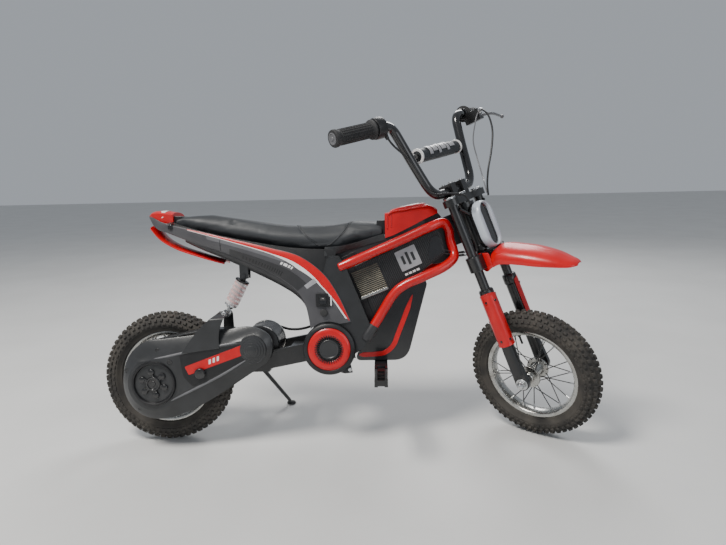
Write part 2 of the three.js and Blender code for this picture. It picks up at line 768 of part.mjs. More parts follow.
function headlight() {
  const shape = belt([0, 353], 32.5, [0, 391], 32.5);
  const shell = new THREE.ExtrudeGeometry(shape, { depth: 20, bevelEnabled: false, curveSegments: 6 });
  shell.rotateX(Math.PI / 2);
  shell.rotateZ(Math.PI / 2);
  return shell.translate(29, 0, 0);
}

function frontFender() {
  const rows = stations([
    [37, 311, 277, 46], [62, 316, 279, 48], [98, 303, 268, 49], [132, 288, 254, 47],
    [168, 266, 240, 40], [194, 244, 229, 26], [207, 231, 226, 7],
  ]);
  return shaped(12, 8, 1, (s, t, r) => {
    const [x, crown, skirt, half] = rows(s);
    const angle = (t - 0.5) * Math.PI;
    const wall = 2.6 * (1 - r);
    const drop = 1 - Math.pow(Math.cos(angle), 0.7);
    const y = (half - wall) * Math.sin(angle);
    return [x, y, crown - wall - (crown - skirt - wall) * drop];
  });
}

function forkLeg(side) {
  const x = FORK_OFFSET - 2;
  const y = side * LEG_SPACING;
  const lug = belt([FORK_OFFSET, 0], 16, [x, 60], 14);
  const body = joined(
    upRod(LEG_RADIUS, 22, 236, x, y, 20),
    sidePlate(lug, y - 6, y + 6, 8),
  );
  return cut(
    body,
    upRod(STANCHION_RADIUS + GAP, 26, 240, x, y, 20),
    crossRod(AXLE_RADIUS + GAP, -90, 90, FORK_OFFSET, 0, 16),
  );
}

function forkGuard(side) {
  const start = -0.62;
  const sweep = 3.4;
  const sheet = shaped(10, 1, 1, (s, t, r) => {
    const angle = start + sweep * s;
    const radius = LEG_RADIUS + 0.5 + 3 * r;
    const x = FORK_OFFSET - 2 + radius * Math.cos(angle);
    return [x, side * (LEG_SPACING + radius * Math.sin(angle)), 98 + 130 * t];
  });
  return sheet;
}

// ---------------------------------------------------------------- assembly

const object = new THREE.Group();
const stance = frameAt(object, 'stance', [0, 0, 0]);
const bike = frameAt(stance, 'bike', [0, 0, 0]);
bike.rotation.x = -LEAN;

function addChassis() {
  const axisFoot = [WHEELBASE - FORK_OFFSET * Math.cos(RAKE), 0, FRONT_AXLE_HEIGHT - FORK_OFFSET * Math.sin(RAKE)];
  part(bike, 'head_tube', headTube(axisFoot), BLACK_STEEL);
  part(bike, 'main_frame', mainFrame(), GREY_PLASTIC);
  part(bike, 'battery_housing', batteryHousing(), BLACK_PLASTIC);
  part(bike, 'battery_pack', batteryPack(), BLACK_PLASTIC);
  part(bike, 'motor_controller', block([500, -30, 228], [560, 30, 256]), BRIGHT_STEEL);
  part(bike, 'tank_cover', tankCover(), RED);
  part(bike, 'seat', seat(), VINYL);
  part(bike, 'tail_cap', tailCap(), RED);
  part(bike, 'rear_mudguard', rearMudguard(), RED);
  part(bike, 'belly_cover', bellyCover(), BLACK_PLASTIC);
  part(bike, 'pivot_bolt', crossRod(8, -75.4, 75.4, PIVOT[0], PIVOT[1], 20), BRIGHT_STEEL);
  part(bike, 'footpeg_bar', footpegBar(), BLACK_STEEL);
  for (const [label, side] of [['right', -1], ['left', 1]]) {
    part(bike, `frame_loop_${label}`, frameLoop(side), RED);
    part(bike, `side_panel_${label}`, sidePanel(side), GREY_PLASTIC);
    part(bike, `pivot_cover_${label}`, pivotCover(side), BLACK_PLASTIC);
    const hinge = frameAt(bike, `axis_footpeg_${label}`, [PEG_X, side * PEG_ROOT, PEG_HEIGHT]);
    part(hinge, `footpeg_${label}`, footpeg(side), BLACK_STEEL);
  }
  const rocker = frameAt(bike, 'axis_power_switch', [388, -84, 346]);
  part(rocker, 'power_switch', block([-7, -2.4, -8], [7, 2, 8]), BLACK_PLASTIC);
  const flap = frameAt(bike, 'axis_charge_cap', [390, -84, 327]);
  part(flap, 'charge_cap', crossRod(8, -2.4, 1.2, 0, -9, 16), BLACK_PLASTIC);
}

function addSwingarm() {
  frameAt(bike, 'axis_swingarm', [PIVOT[0], 0, PIVOT[1]]);
  part(bike, 'swingarm', swingarm(), BLACK_STEEL);
  part(bike, 'chain_case', chainCase(), BLACK_PLASTIC);
  part(bike, 'drive_chain', driveChain(), BLACK_STEEL);
  part(bike, 'brake_caliper', brakeCaliper(), BLACK_STEEL);
  const motor = frameAt(bike, 'axis_motor', [MOTOR[0], 0, MOTOR[1]]);
  part(motor, 'motor_can', motorCan(), BLACK_STEEL);
  part(motor, 'motor_rotor', motorRotor(), BRIGHT_STEEL);
  const wheel = frameAt(bike, 'axis_rear_wheel', [REAR_AXLE[0], 0, REAR_AXLE[1]]);
  part(wheel, 'rear_axle', axle(77, ARM_OUTER + GAP), BRIGHT_STEEL);
  part(wheel, 'rear_hub', rearHub(), BLACK_STEEL);
  part(wheel, 'rear_rim', rim(), BRIGHT_STEEL);
  part(wheel, 'rear_tyre', tyre(), RUBBER);
  const arm = frameAt(bike, 'axis_brake_arm', [45, 7, 206]);
  part(arm, 'brake_arm', brakeArm(), BRIGHT_STEEL);
  const stand = frameAt(bike, 'axis_kickstand', STAND_PIVOT);
  part(stand, 'kickstand', kickstand(), BLACK_STEEL);
}

function addShock() {
  const [dx, dz] = [SHOCK_TOP[0] - SHOCK_FOOT[0], SHOCK_TOP[1] - SHOCK_FOOT[1]];
  const shock = frameAt(bike, 'axis_shock', [SHOCK_TOP[0], SHOCK_Y, SHOCK_TOP[1]]);
  shock.rotation.y = Math.atan2(dx, dz);
  part(shock, 'shock_body', shockBody(), BLACK_STEEL);
  part(shock, 'shock_rod', shockRod(Math.hypot(dx, dz)), BRIGHT_STEEL);
  part(shock, 'shock_spring', shockSpring(), SPRING_PAINT);
}

function addSteering() {
  const foot = [WHEELBASE - FORK_OFFSET * Math.cos(RAKE), 0, FRONT_AXLE_HEIGHT - FORK_OFFSET * Math.sin(RAKE)];
  const axis = frameAt(bike, 'axis_steering', foot);
  axis.rotation.y = -RAKE;
  const fork = frameAt(axis, 'turned_fork', [0, 0, 0]);
  fork.rotation.z = -TURN;
  part(fork, 'steering_stem', steeringStem(), BLACK_STEEL);
  part(fork, 'upper_clamp', upperClamp(), BLACK_STEEL);
  part(fork, 'handlebar', handlebar(), BLACK_STEEL);
  part(fork, 'crossbar_pad', crossbarPad(), VINYL);
  part(fork, 'headlight', headlight(), PALE_LENS);
  part(fork, 'front_fender', frontFender(), RED);
  part(fork, 'left_grip', handGrip(1), RUBBER);
  part(fork, 'brake_perch', brakePerch(), BRIGHT_STEEL);
  part(fork, 'throttle_housing', throttleHousing(), BLACK_PLASTIC);
  frameAt(fork, 'axis_throttle', [GRIP_INNER[0], -GRIP_INNER[1], GRIP_INNER[2]]);
  part(fork, 'throttle_grip', handGrip(-1), RUBBER);
  const lever = frameAt(fork, 'axis_brake_lever', LEVER_PIVOT);
  part(lever, 'brake_lever', brakeLever(), BLACK_STEEL);
  part(fork, 'brake_cable', brakeCable(), BLACK_PLASTIC);
  part(fork, 'throttle_lead', throttleLead(), BLACK_PLASTIC);
  for (const [label, side] of [['right', -1], ['left', 1]]) {
    part(fork, `fork_tube_${label}`, forkTube(side), BLACK_STEEL);
    part(fork, `fork_leg_${label}`, forkLeg(side), BLACK_STEEL);
    part(fork, `fork_guard_${label}`, forkGuard(side), RED);
  }
  const wheel = frameAt(fork, 'axis_front_wheel', [FORK_OFFSET, 0, 0]);
  part(wheel, 'front_axle', axle(77, LEG_SPACING + 6 + GAP), BRIGHT_STEEL);
  part(wheel, 'front_hub', frontHub(), BRIGHT_STEEL);
  part(wheel, 'front_rim', rim(), BRIGHT_STEEL);
  part(wheel, 'front_tyre', tyre(), RUBBER);
}

// Brake cable from the lever perch, looping forward and down behind the headlight.
function brakeCable() {
  return tube([
    [34, 180, 640], [47, 169, 635], [66, 148, 612], [76, 118, 572], [70, 88, 528],
    [58, 64, 490], [48, 52, 458], [43, 46, 432],
  ], 2, 8, 26);
}

// Lead from the throttle housing, down beside the bar and round to the headlight's back.
function throttleLead() {
  return tube([
    [-14, -166, 625], [-12, -158, 606], [2, -144, 566], [6, -134, 524], [4, -118, 484],
    [22, -72, 468], [40, -48, 452], [42, -44, 430],
  ], 2, 8, 26);
}

addChassis();
addSwingarm();
addShock();
addSteering();

// The origin is under the middle of the standing bike's bounding box.
object.updateMatrixWorld(true);
const bounds = new THREE.Box3().setFromObject(object, true);
const middle = bounds.getCenter(new THREE.Vector3());
stance.position.set(-middle.x, -middle.y, -bounds.min.z);
object.updateMatrixWorld(true);

export default object;
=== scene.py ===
"""Looks for a children's ride-on electric dirt bike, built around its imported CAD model.

Shapes are written in millimetres in two frames: BIKE, the upright bike with its origin on the ground under
the rear axle, and FORK, the turned steering assembly with its origin at the foot of the steering axis.
"""

import json
from math import acos, atan2, copysign, cos, dist, exp, hypot, pi, radians, sin, tau

import bmesh
import bpy
from mathutils import Matrix, Vector
from mathutils.bvhtree import BVHTree


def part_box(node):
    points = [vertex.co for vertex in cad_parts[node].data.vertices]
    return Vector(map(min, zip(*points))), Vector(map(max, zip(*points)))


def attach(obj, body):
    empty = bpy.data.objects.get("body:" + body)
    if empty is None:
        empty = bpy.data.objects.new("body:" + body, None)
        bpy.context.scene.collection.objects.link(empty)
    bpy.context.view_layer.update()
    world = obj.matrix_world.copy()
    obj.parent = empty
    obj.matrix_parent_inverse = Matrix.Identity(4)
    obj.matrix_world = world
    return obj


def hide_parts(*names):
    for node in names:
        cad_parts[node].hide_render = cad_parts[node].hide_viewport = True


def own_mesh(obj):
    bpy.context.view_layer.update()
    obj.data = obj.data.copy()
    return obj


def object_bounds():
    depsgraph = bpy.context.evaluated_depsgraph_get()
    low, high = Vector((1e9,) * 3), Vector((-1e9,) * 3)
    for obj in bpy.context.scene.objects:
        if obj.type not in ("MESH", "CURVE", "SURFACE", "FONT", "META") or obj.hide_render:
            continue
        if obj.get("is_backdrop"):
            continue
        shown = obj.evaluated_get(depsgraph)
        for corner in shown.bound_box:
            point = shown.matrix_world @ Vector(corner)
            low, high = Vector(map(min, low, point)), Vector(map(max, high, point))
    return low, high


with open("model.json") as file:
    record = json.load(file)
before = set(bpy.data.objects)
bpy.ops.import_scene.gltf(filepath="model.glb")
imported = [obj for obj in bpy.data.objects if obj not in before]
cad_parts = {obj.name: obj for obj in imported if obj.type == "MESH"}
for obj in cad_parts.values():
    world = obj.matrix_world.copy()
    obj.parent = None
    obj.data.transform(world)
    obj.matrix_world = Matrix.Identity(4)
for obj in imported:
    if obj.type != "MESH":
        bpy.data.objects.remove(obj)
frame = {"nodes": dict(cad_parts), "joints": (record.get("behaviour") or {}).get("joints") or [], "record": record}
CAD_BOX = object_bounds()
JOINTS = {joint["name"]: joint for joint in frame["joints"]}
BODY_OF = {node: body for body, nodes in frame["record"]["behaviour"]["bodies"].items() for node in nodes}

# Driving dimensions, in millimetres, shared with the CAD model
LEAN = radians(6)
TYRE_RADIUS = 158.5
FORK_OFFSET = 10
PIVOT = (400, 235)
MOTOR = (232, 237)
SHOCK_TOP = (203, 403)
SHOCK_FOOT = (157, 315)
SHOCK_Y = -42
CHAIN_LINE = -50
LEG_SPACING = 61
LEG_RADIUS = 15
BAR_HEIGHT = 474
BAR_SET_BACK = -10
CROSSBAR_HEIGHT = 573
CROSSBAR_REACH = 118
GRIP_INNER = Vector((-15, 170, 652.2))
GRIP_OUTER = Vector((-46, 294, 655))
SPOKES_PER_SIDE = 12
SPROCKET_TEETH = 56
CHAIN_PITCH = 6.35
SPROCKET_RADIUS = SPROCKET_TEETH * CHAIN_PITCH / tau
FLANGE_RADIUS = 24
FLANGE_Y = 26
SPOKE_SEAT_RADIUS = 97.4
TREAD_CENTRE = 128
KNOBS_PER_ROW = 60
PIVOT_CLEARANCE = 61.5
COVER_Y = 46
NEAR_AXIS = 0.01  # stands for a radius of nothing, so that a turned shape closes on its axis
CLOTH_STEPS = 20
SIDES = (("right", -1), ("left", 1))
MM = Matrix.Scale(0.001, 4)


# ------------------------------------------------------------------ frames


def node_middle(node):
    low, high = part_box(node)
    return (low + high) / 2


def at(x, y, z):
    return Matrix.Translation((x, y, z))


def axes_matrix(x, y, z, origin):
    matrix = Matrix((x, y, z)).transposed().to_4x4()
    matrix.translation = origin
    return matrix


LEANING = Matrix.Rotation(-LEAN, 4, "X")
BIKE = Matrix.Translation(node_middle("rear_tyre")) @ LEANING @ at(0, 0, -TYRE_RADIUS / 1000) @ MM
STEER_Y = Vector(JOINTS["front_wheel_spin"]["axis"])
STEER_Z = Vector(JOINTS["steering"]["axis"])
STEER_X = STEER_Y.cross(STEER_Z)
FRONT_AXLE = node_middle("front_tyre")
FORK = axes_matrix(STEER_X, STEER_Y, STEER_Z, FRONT_AXLE - STEER_X * FORK_OFFSET / 1000) @ MM
REAR_WHEEL = BIKE @ at(0, 0, TYRE_RADIUS)
FRONT_WHEEL = FORK @ at(FORK_OFFSET, 0, 0)
SHOCK_TILT = atan2(SHOCK_TOP[0] - SHOCK_FOOT[0], SHOCK_TOP[1] - SHOCK_FOOT[1])
SHOCK = BIKE @ at(SHOCK_TOP[0], SHOCK_Y, SHOCK_TOP[1]) @ Matrix.Rotation(SHOCK_TILT, 4, "Y")


# ------------------------------------------------------------------ shapes: each returns (points, faces)


def merged(*shapes):
    points, faces = [], []
    for more_points, more_faces in shapes:
        start = len(points)
        points += list(more_points)
        faces += [tuple(i + start for i in face) for face in more_faces]
    return points, faces


def moved(shape, matrix):
    return [matrix @ Vector(p) for p in shape[0]], shape[1]


def mirrored(shape):
    return [(p[0], -p[1], p[2]) for p in shape[0]], [tuple(reversed(face)) for face in shape[1]]


def sided(shape, side):
    """A shape made for the left, mirrored for the right."""
    return shape if side > 0 else mirrored(shape)


def loft(rings, cap=True):
    """Skin through closed rings of equal length."""
    n = len(rings[0])
    points = [p for ring in rings for p in ring]
    faces = []
    for k in range(len(rings) - 1):
        for i in range(n):
            j = (i + 1) % n
            faces.append((k * n + i, k * n + j, (k + 1) * n + j, (k + 1) * n + i))
    if cap:
        faces.append(tuple(reversed(range(n))))
        faces.append(tuple(range((len(rings) - 1) * n, len(rings) * n)))
    return points, faces


def box(low, high):
    (a, b, c), (d, e, f) = low, high
    lower = [(a, b, c), (d, b, c), (d, e, c), (a, e, c)]
    return loft([lower, [(x, y, f) for x, y, _ in lower]])


def polar(radius, angle):
    return radius * cos(angle), radius * sin(angle)


def circle(radius, n):
    return [polar(radius, tau * i / n) for i in range(n)]


def turned(profile, segments=64):
    """Turned about Y from (radius, y) pairs; a profile that ends on its first point makes a closed ring."""
    rings = []
    for radius, y in profile:
        rings.append([(x, y, z) for z, x in circle(max(radius, NEAR_AXIS), segments)])
    if profile[0] != profile[-1]:
        return loft(rings)
    rings.pop()
    points, faces = loft(rings, cap=False)
    last = len(points) - segments
    for i in range(segments):
        j = (i + 1) % segments
        faces.append((last + i, last + j, j, i))
    return points, faces


def hanging(shape):
    """Turns a shape made about Y so that it runs down along Z."""
    return moved(shape, Matrix.Rotation(-pi / 2, 4, "X"))


def hung(profile, segments, x, y, z):
    return moved(hanging(turned(profile, segments)), at(x, y, z))


def rectangle(x, y, z, half_x, half_y):
    return [(x + a * half_x, y + b * half_y, z) for a, b in ((-1, -1), (1, -1), (1, 1), (-1, 1))]


def bulging(thick, fall):
    """Radius along a bar that is full in its middle and falls off at its ends."""
    return lambda f: thick - fall * abs(2 * f - 1) ** 3


def rod(start, end, radius, sides=16):
    start, end = Vector(start), Vector(end)
    turn = (end - start).to_track_quat("Z", "Y").to_matrix()
    ends = []
    for middle in (start, end):
        ends.append([middle + turn @ Vector((x, y, 0)) for x, y in circle(radius, sides)])
    return loft(ends)


def prism(outline, near, far):
    """Side-view outline of (x, z) pairs, thick from one y to another."""
    return loft([[(x, near, z) for x, z in outline], [(x, far, z) for x, z in outline]])


def smooth_value(rows, fraction):
    """Smooth values between rows of numbers, for a fraction from 0 to 1."""
    last = len(rows) - 1
    place = fraction * last
    i = min(int(place), last - 1)
    t = place - i
    row = [rows[min(max(k, 0), last)] for k in (i - 1, i, i + 1, i + 2)]
    out = []
    for a, b, d, e in zip(*row):
        slope_in, slope_out, rise = (d - a) / 2, (e - b) / 2, d - b
        square = 3 * rise - 2 * slope_in - slope_out
        cube = slope_in + slope_out - 2 * rise
        out.append(b + t * (slope_in + t * (square + t * cube)))
    return out


def route(points, steps):
    return [Vector(smooth_value(points, k / steps)) for k in range(steps + 1)]


def swept(path, radius, sides=16, flat=1.0):
    """Round bar along a path, turned as little as it can be from point to point."""
    path = [Vector(p) for p in path]
    tangents = []
    for i in range(len(path)):
        tangents.append((path[min(i + 1, len(path) - 1)] - path[max(i - 1, 0)]).normalized())
    across = tangents[0].orthogonal().normalized()
    rings = []
    for i, (point, tangent) in enumerate(zip(path, tangents)):
        across = (across - tangent * across.dot(tangent)).normalized()
        up = tangent.cross(across)
        size = radius(i / (len(path) - 1)) if callable(radius) else radius
        rings.append([point + across * x + up * y * flat for x, y in circle(size, sides)])
    return loft(rings)


def grid(place, nx, ny):
    """Closed sheet: place(s, t, r) with r = 0 on the inside and 1 on the outside."""
    points, faces = [], []
    for r in (0, 1):
        for i in range(nx + 1):
            for j in range(ny + 1):
                points.append(place(i / nx, j / ny, r))
    layer, row = (nx + 1) * (ny + 1), ny + 1
    for i in range(nx):
        for j in range(ny):
            a = i * row + j
            b, c, d = a + 1, a + row + 1, a + row
            faces.append((a, b, c, d))
            faces.append((layer + d, layer + c, layer + b, layer + a))
    edge = [i * row for i in range(nx + 1)]
    edge += [nx * row + j for j in range(1, row)]
    edge += [i * row + ny for i in range(nx - 1, -1, -1)]
    edge += list(range(ny - 1, 0, -1))
    for k, a in enumerate(edge):
        b = edge[(k + 1) % len(edge)]
        faces.append((a, b, b + layer, a + layer))
    return points, faces


def belt_outline(a, radius_a, b, radius_b, n=12):
    """Outline of a belt laid round two circles."""
    along = atan2(b[1] - a[1], b[0] - a[0])
    spread = acos((radius_a - radius_b) / hypot(b[0] - a[0], b[1] - a[1]))
    arcs = [(a, radius_a, along + spread, tau - 2 * spread), (b, radius_b, along - spread, 2 * spread)]
    outline = []
    for middle, radius, start, sweep in arcs:
        for i in range(n + 1):
            x, y = polar(radius, start + sweep * i / n)
            outline.append((middle[0] + x, middle[1] + y))
    return outline


def rounded(outline, radius, n=4):
    """Outline with its corners rounded off."""
    out = []
    for i, corner in enumerate(outline):
        corner = Vector(corner)
        before, after = Vector(outline[i - 1]) - corner, Vector(outline[(i + 1) % len(outline)]) - corner
        cut = min(radius, before.length * 0.45, after.length * 0.45)
        a, b = corner + before.normalized() * cut, corner + after.normalized() * cut
        for k in range(n + 1):
            t = k / n
            point = a * (1 - t) ** 2 + corner * 2 * t * (1 - t) + b * t * t
            out.append((point.x, point.y))
    return out


# ------------------------------------------------------------------ pieces


def piece(name, body, finish, shape, base=BIKE, replaces=(), bevel=0.0, segments=2, angle=38):
    """A shown mesh on a body, in one material, made from a shape in the base frame."""
    points, faces = shape
    mesh = bpy.data.meshes.new(name)
    mesh.from_pydata([base @ Vector(p) for p in points], [], faces)
    return dress(mesh, name, body, finish, replaces, bevel, segments, angle)


def face_outward(mesh):
    work = bmesh.new()
    work.from_mesh(mesh)
    bmesh.ops.recalc_face_normals(work, faces=work.faces)
    work.to_mesh(mesh)
    work.free()


def dress(mesh, name, body, finish, replaces=(), bevel=0.0, segments=2, angle=38):
    face_outward(mesh)
    for polygon in mesh.polygons:
        polygon.use_smooth = True
    mesh.set_sharp_from_angle(angle=radians(angle))
    mesh.materials.append(finish)
    thing = bpy.data.objects.new(name, mesh)
    bpy.context.scene.collection.objects.link(thing)
    if bevel:
        rounding = thing.modifiers.new("edges", "BEVEL")
        rounding.width = bevel / 1000
        rounding.segments = segments
        rounding.limit_method = "ANGLE"
        rounding.angle_limit = radians(28)
        rounding.harden_normals = True
    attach(thing, body)
    if replaces:
        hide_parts(*replaces)
    return thing


def dressed_node(node, finish, bevel=0.8, segments=2, angle=38):
    """The CAD node's own shape with its edges rounded."""
    source = frame["nodes"][node]
    work = bmesh.new()
    work.from_mesh(source.data)
    bmesh.ops.remove_doubles(work, verts=work.verts, dist=1e-6)
    bmesh.ops.dissolve_limit(work, angle_limit=radians(1), verts=work.verts, edges=work.edges)
    mesh = bpy.data.meshes.new(node + "_dressed")
    work.to_mesh(mesh)
    work.free()
    return dress(mesh, node + "_dressed", BODY_OF[node], finish, (node,), bevel, segments, angle)


# ------------------------------------------------------------------ materials


def surface(
    name, colour, rough, second=None, metal=0.0, coat=0.0, blotch=30.0, grain=1500.0, bump=0.15, spread=0.08
):
    """Two tones in soft blotches, uneven roughness and a fine grain, in the object's own coordinates."""
    material = bpy.data.materials.new(name)
    material.use_nodes = True
    nodes, links = material.node_tree.nodes, material.node_tree.links
    shader = nodes["Principled BSDF"]
    shader.inputs["Metallic"].default_value = metal
    shader.inputs["Coat Weight"].default_value = coat
    shader.inputs["Coat Roughness"].default_value = 0.08
    place = nodes.new("ShaderNodeTexCoord").outputs["Object"]
    second = second or tuple(c * 0.72 for c in colour)

    def noise(scale, detail=3.0):
        node = nodes.new("ShaderNodeTexNoise")
        node.inputs["Scale"].default_value = scale
        node.inputs["Detail"].default_value = detail
        links.new(place, node.inputs["Vector"])
        return node.outputs["Fac"]

    mix = nodes.new("ShaderNodeMix")
    mix.data_type = "RGBA"
    mix.inputs[6].default_value = (*colour, 1)
    mix.inputs[7].default_value = (*second, 1)
    steps = nodes.new("ShaderNodeMapRange")
    steps.inputs["From Min"].default_value = 0.35
    steps.inputs["From Max"].default_value = 0.7
    links.new(noise(blotch, 5.0), steps.inputs["Value"])
    links.new(steps.outputs["Result"], mix.inputs[0])
    links.new(mix.outputs[2], shader.inputs["Base Color"])
    shine = nodes.new("ShaderNodeMapRange")
    shine.inputs["To Min"].default_value = max(rough - spread, 0.03)
    shine.inputs["To Max"].default_value = min(rough + spread, 1)
    links.new(noise(blotch * 3.1), shine.inputs["Value"])
    links.new(shine.outputs["Result"], shader.inputs["Roughness"])
    relief = nodes.new("ShaderNodeBump")
    relief.inputs["Strength"].default_value = bump
    relief.inputs["Distance"].default_value = 0.0004
    links.new(noise(grain, 2.0), relief.inputs["Height"])
    links.new(relief.outputs["Normal"], shader.inputs["Normal"])
    return material


def shader_of(material):
    return material.node_tree.nodes["Principled BSDF"]


def grained(material, cells, depth, strength):
    """Adds the cells of a leather grain to a surface's relief."""
    nodes, links = material.node_tree.nodes, material.node_tree.links
    pores = nodes.new("ShaderNodeTexVoronoi")
    pores.feature = "DISTANCE_TO_EDGE"
    pores.inputs["Scale"].default_value = cells
    links.new(nodes["Texture Coordinate"].outputs["Object"], pores.inputs["Vector"])
    relief = nodes.new("ShaderNodeBump")
    relief.inputs["Strength"].default_value = strength
    relief.inputs["Distance"].default_value = depth
    links.new(pores.outputs["Distance"], relief.inputs["Height"])
    links.new(nodes["Bump"].outputs["Normal"], relief.inputs["Normal"])
    links.new(relief.outputs["Normal"], shader_of(material).inputs["Normal"])
    return material


RED = surface(
    "red_gloss", (0.54, 0.0012, 0.004), 0.32, (0.46, 0.001, 0.003), coat=0.12, bump=0.04, grain=700
)
RED_ENAMEL = surface(
    "red_enamel", (0.52, 0.0012, 0.003), 0.27, (0.46, 0.001, 0.002), coat=0.3, bump=0.015, grain=90,
    blotch=12, spread=0.03
)
CHARCOAL = surface(
    "charcoal_plastic", (0.019, 0.020, 0.022), 0.42, (0.014, 0.015, 0.016), grain=1800, bump=0.3
)
BLACK = surface("black_plastic", (0.007, 0.007, 0.008), 0.42, (0.010, 0.010, 0.011), grain=1800, bump=0.3)
CASE_BLACK = surface(
    "case_plastic", (0.030, 0.031, 0.033), 0.33, (0.022, 0.023, 0.024), grain=2200, bump=0.25
)
GLOSS_BLACK = surface("gloss_black", (0.008, 0.008, 0.009), 0.2, (0.012, 0.012, 0.013), coat=0.5, bump=0.05)
PANEL_GREY = surface("panel_grey", (0.070, 0.069, 0.074), 0.34, (0.056, 0.055, 0.060), grain=1800, bump=0.2)
PANEL_DARK = surface("panel_dark", (0.030, 0.030, 0.032), 0.36, (0.024, 0.024, 0.026), grain=1800, bump=0.2)
PANEL_MID = surface("panel_mid", (0.13, 0.13, 0.138), 0.34, (0.11, 0.11, 0.117), grain=1800, bump=0.2)
WHITE = surface("white_film", (0.74, 0.73, 0.72), 0.3, (0.66, 0.65, 0.64), bump=0.05)
LABEL_GREY = surface("label_grey", (0.33, 0.33, 0.345), 0.32, (0.27, 0.27, 0.285), bump=0.05)
STEEL_BLACK = surface(
    "steel_black", (0.007, 0.007, 0.008), 0.3, (0.010, 0.010, 0.010), coat=0.3, grain=500, bump=0.12
)
ZINC = surface(
    "zinc", (0.60, 0.61, 0.62), 0.3, (0.50, 0.50, 0.50), metal=1.0, blotch=90, grain=2600, bump=0.2
)
ALLOY = surface(
    "alloy", (0.50, 0.50, 0.48), 0.26, (0.34, 0.33, 0.31), metal=1.0, blotch=45, grain=1800, bump=0.25
)
SPOKE = surface("spoke_black", (0.02, 0.02, 0.021), 0.35, (0.05, 0.048, 0.045), metal=0.4)
TYRE = surface(
    "tyre_rubber", (0.026, 0.024, 0.022), 0.82, (0.060, 0.053, 0.045), blotch=26, grain=1300, bump=0.5
)
GRIP = surface("grip_rubber", (0.017, 0.017, 0.018), 0.68, (0.026, 0.026, 0.027), grain=1600, bump=0.5)
VINYL = surface(
    "seat_vinyl", (0.026, 0.029, 0.033), 0.54, (0.018, 0.020, 0.023), blotch=14, grain=2200, bump=0.2
)
THREAD = surface("thread", (0.016, 0.016, 0.018), 0.75, grain=3000, bump=0.5)
COIL = surface("coil_paint", (0.55, 0.10, 0.09), 0.3, (0.60, 0.18, 0.16), coat=0.3)
LENS = surface("frosted_lens", (0.50, 0.54, 0.59), 0.3, (0.42, 0.46, 0.51), blotch=12, bump=0.08)
MESH_BRASS = surface("mesh_brass", (0.17, 0.155, 0.115), 0.45, (0.10, 0.092, 0.07), metal=0.6, blotch=60)
FLOOR = surface("pale_floor", (0.62, 0.62, 0.61), 0.75, (0.58, 0.58, 0.57), blotch=3, grain=120, bump=0.05)
grained(VINYL, 620, 0.00025, 0.5)
grained(GRIP, 420, 0.0002, 0.4)


def sleeve_film():
    """Milky shrink film over the shock's coil."""
    film = surface("sleeve_film", (0.80, 0.76, 0.75), 0.22, (0.72, 0.66, 0.66), blotch=60, bump=0.1)
    shader_of(film).inputs["Alpha"].default_value = 0.42
    return film


FILM = sleeve_film()


# ------------------------------------------------------------------ wheels


def crown(radius_in, width, angle):
    """Point (radius, y) on the round of the tread at an angle from its middle."""
    return TREAD_CENTRE + radius_in * cos(angle), width * sin(angle)


def carcass():
    half = [(102.8, 12.6), (103.2, 14.2), (108, 15.4), (110.6, 17.2), (112, 20.8), (114, 21.2), (116, 22.2)]
    half += [(122, 25.4), (123, 26.4), (125, 26.6)]
    half += [crown(25, 27.2, radians(a)) for a in (84, 70, 56, 42, 28, 14)]
    profile = half + [crown(25, 27.2, 0)] + [(r, -y) for r, y in reversed(half)]
    profile += [(110, -11), (140, -16), (147, 0), (140, 16), (110, 11), profile[0]]
    return turned(profile, 120)


def knob(turn, angle, length, width, height):
    """Tapered rubber block standing on the tread."""
    radius, y = crown(24, 26.4, angle)
    out = Vector((cos(angle), sin(angle), 0))
    along = Vector((-sin(angle), cos(angle), 0))
    rings = []
    for lift, shrink in ((0, 1.0), (height * 0.8, 0.86), (height, 0.68)):
        ring = []
        for a, b in ((-1, -1), (1, -1), (1, 1), (-1, 1)):
            p = Vector((radius, y, 0)) + out * lift + along * (b * width / 2 * shrink)
            ring.append((p.x, p.y, a * length / 2 * shrink))
        rings.append(ring)
    return moved(loft(rings), Matrix.Rotation(turn, 4, "Y"))


def tread():
    """Staggered knobs; rows give degrees from the middle, stagger, length, width and height."""
    knobs = []
    pitch = tau / KNOBS_PER_ROW
    rows = [
        (12, 0.5, 9.5, 8.5, 5.6), (41, 0.0, 8.6, 8.0, 5.4), (66, 0.5, 8.0, 7.0, 4.6),
        (88, 0.0, 9.6, 5.2, 2.6)
    ]
    for degrees, stagger, length, width, height in rows:
        for side in (-1, 1):
            for i in range(KNOBS_PER_ROW):
                turn = (i + stagger + (0.5 if side > 0 else 0)) * pitch
                knobs.append(knob(turn, side * radians(degrees), length, width, height))
    return merged(*knobs)


def rim_shape():
    half = [(98.6, 0), (98.8, 4), (99.8, 7.5), (101.6, 9.8), (102.4, 13.2), (105.5, 14.6), (109.2, 14.9)]
    half += [
        (110.3, 15.8), (109.9, 17.2), (108.4, 17.6), (106, 16.9), (102.6, 16.7), (100.6, 15.2), (99.4, 11)
    ]
    half += [(97.6, 7.4), (96.8, 0)]
    profile = half + [(r, -y) for r, y in reversed(half[1:-1])] + [half[0]]
    return turned(profile, 128)


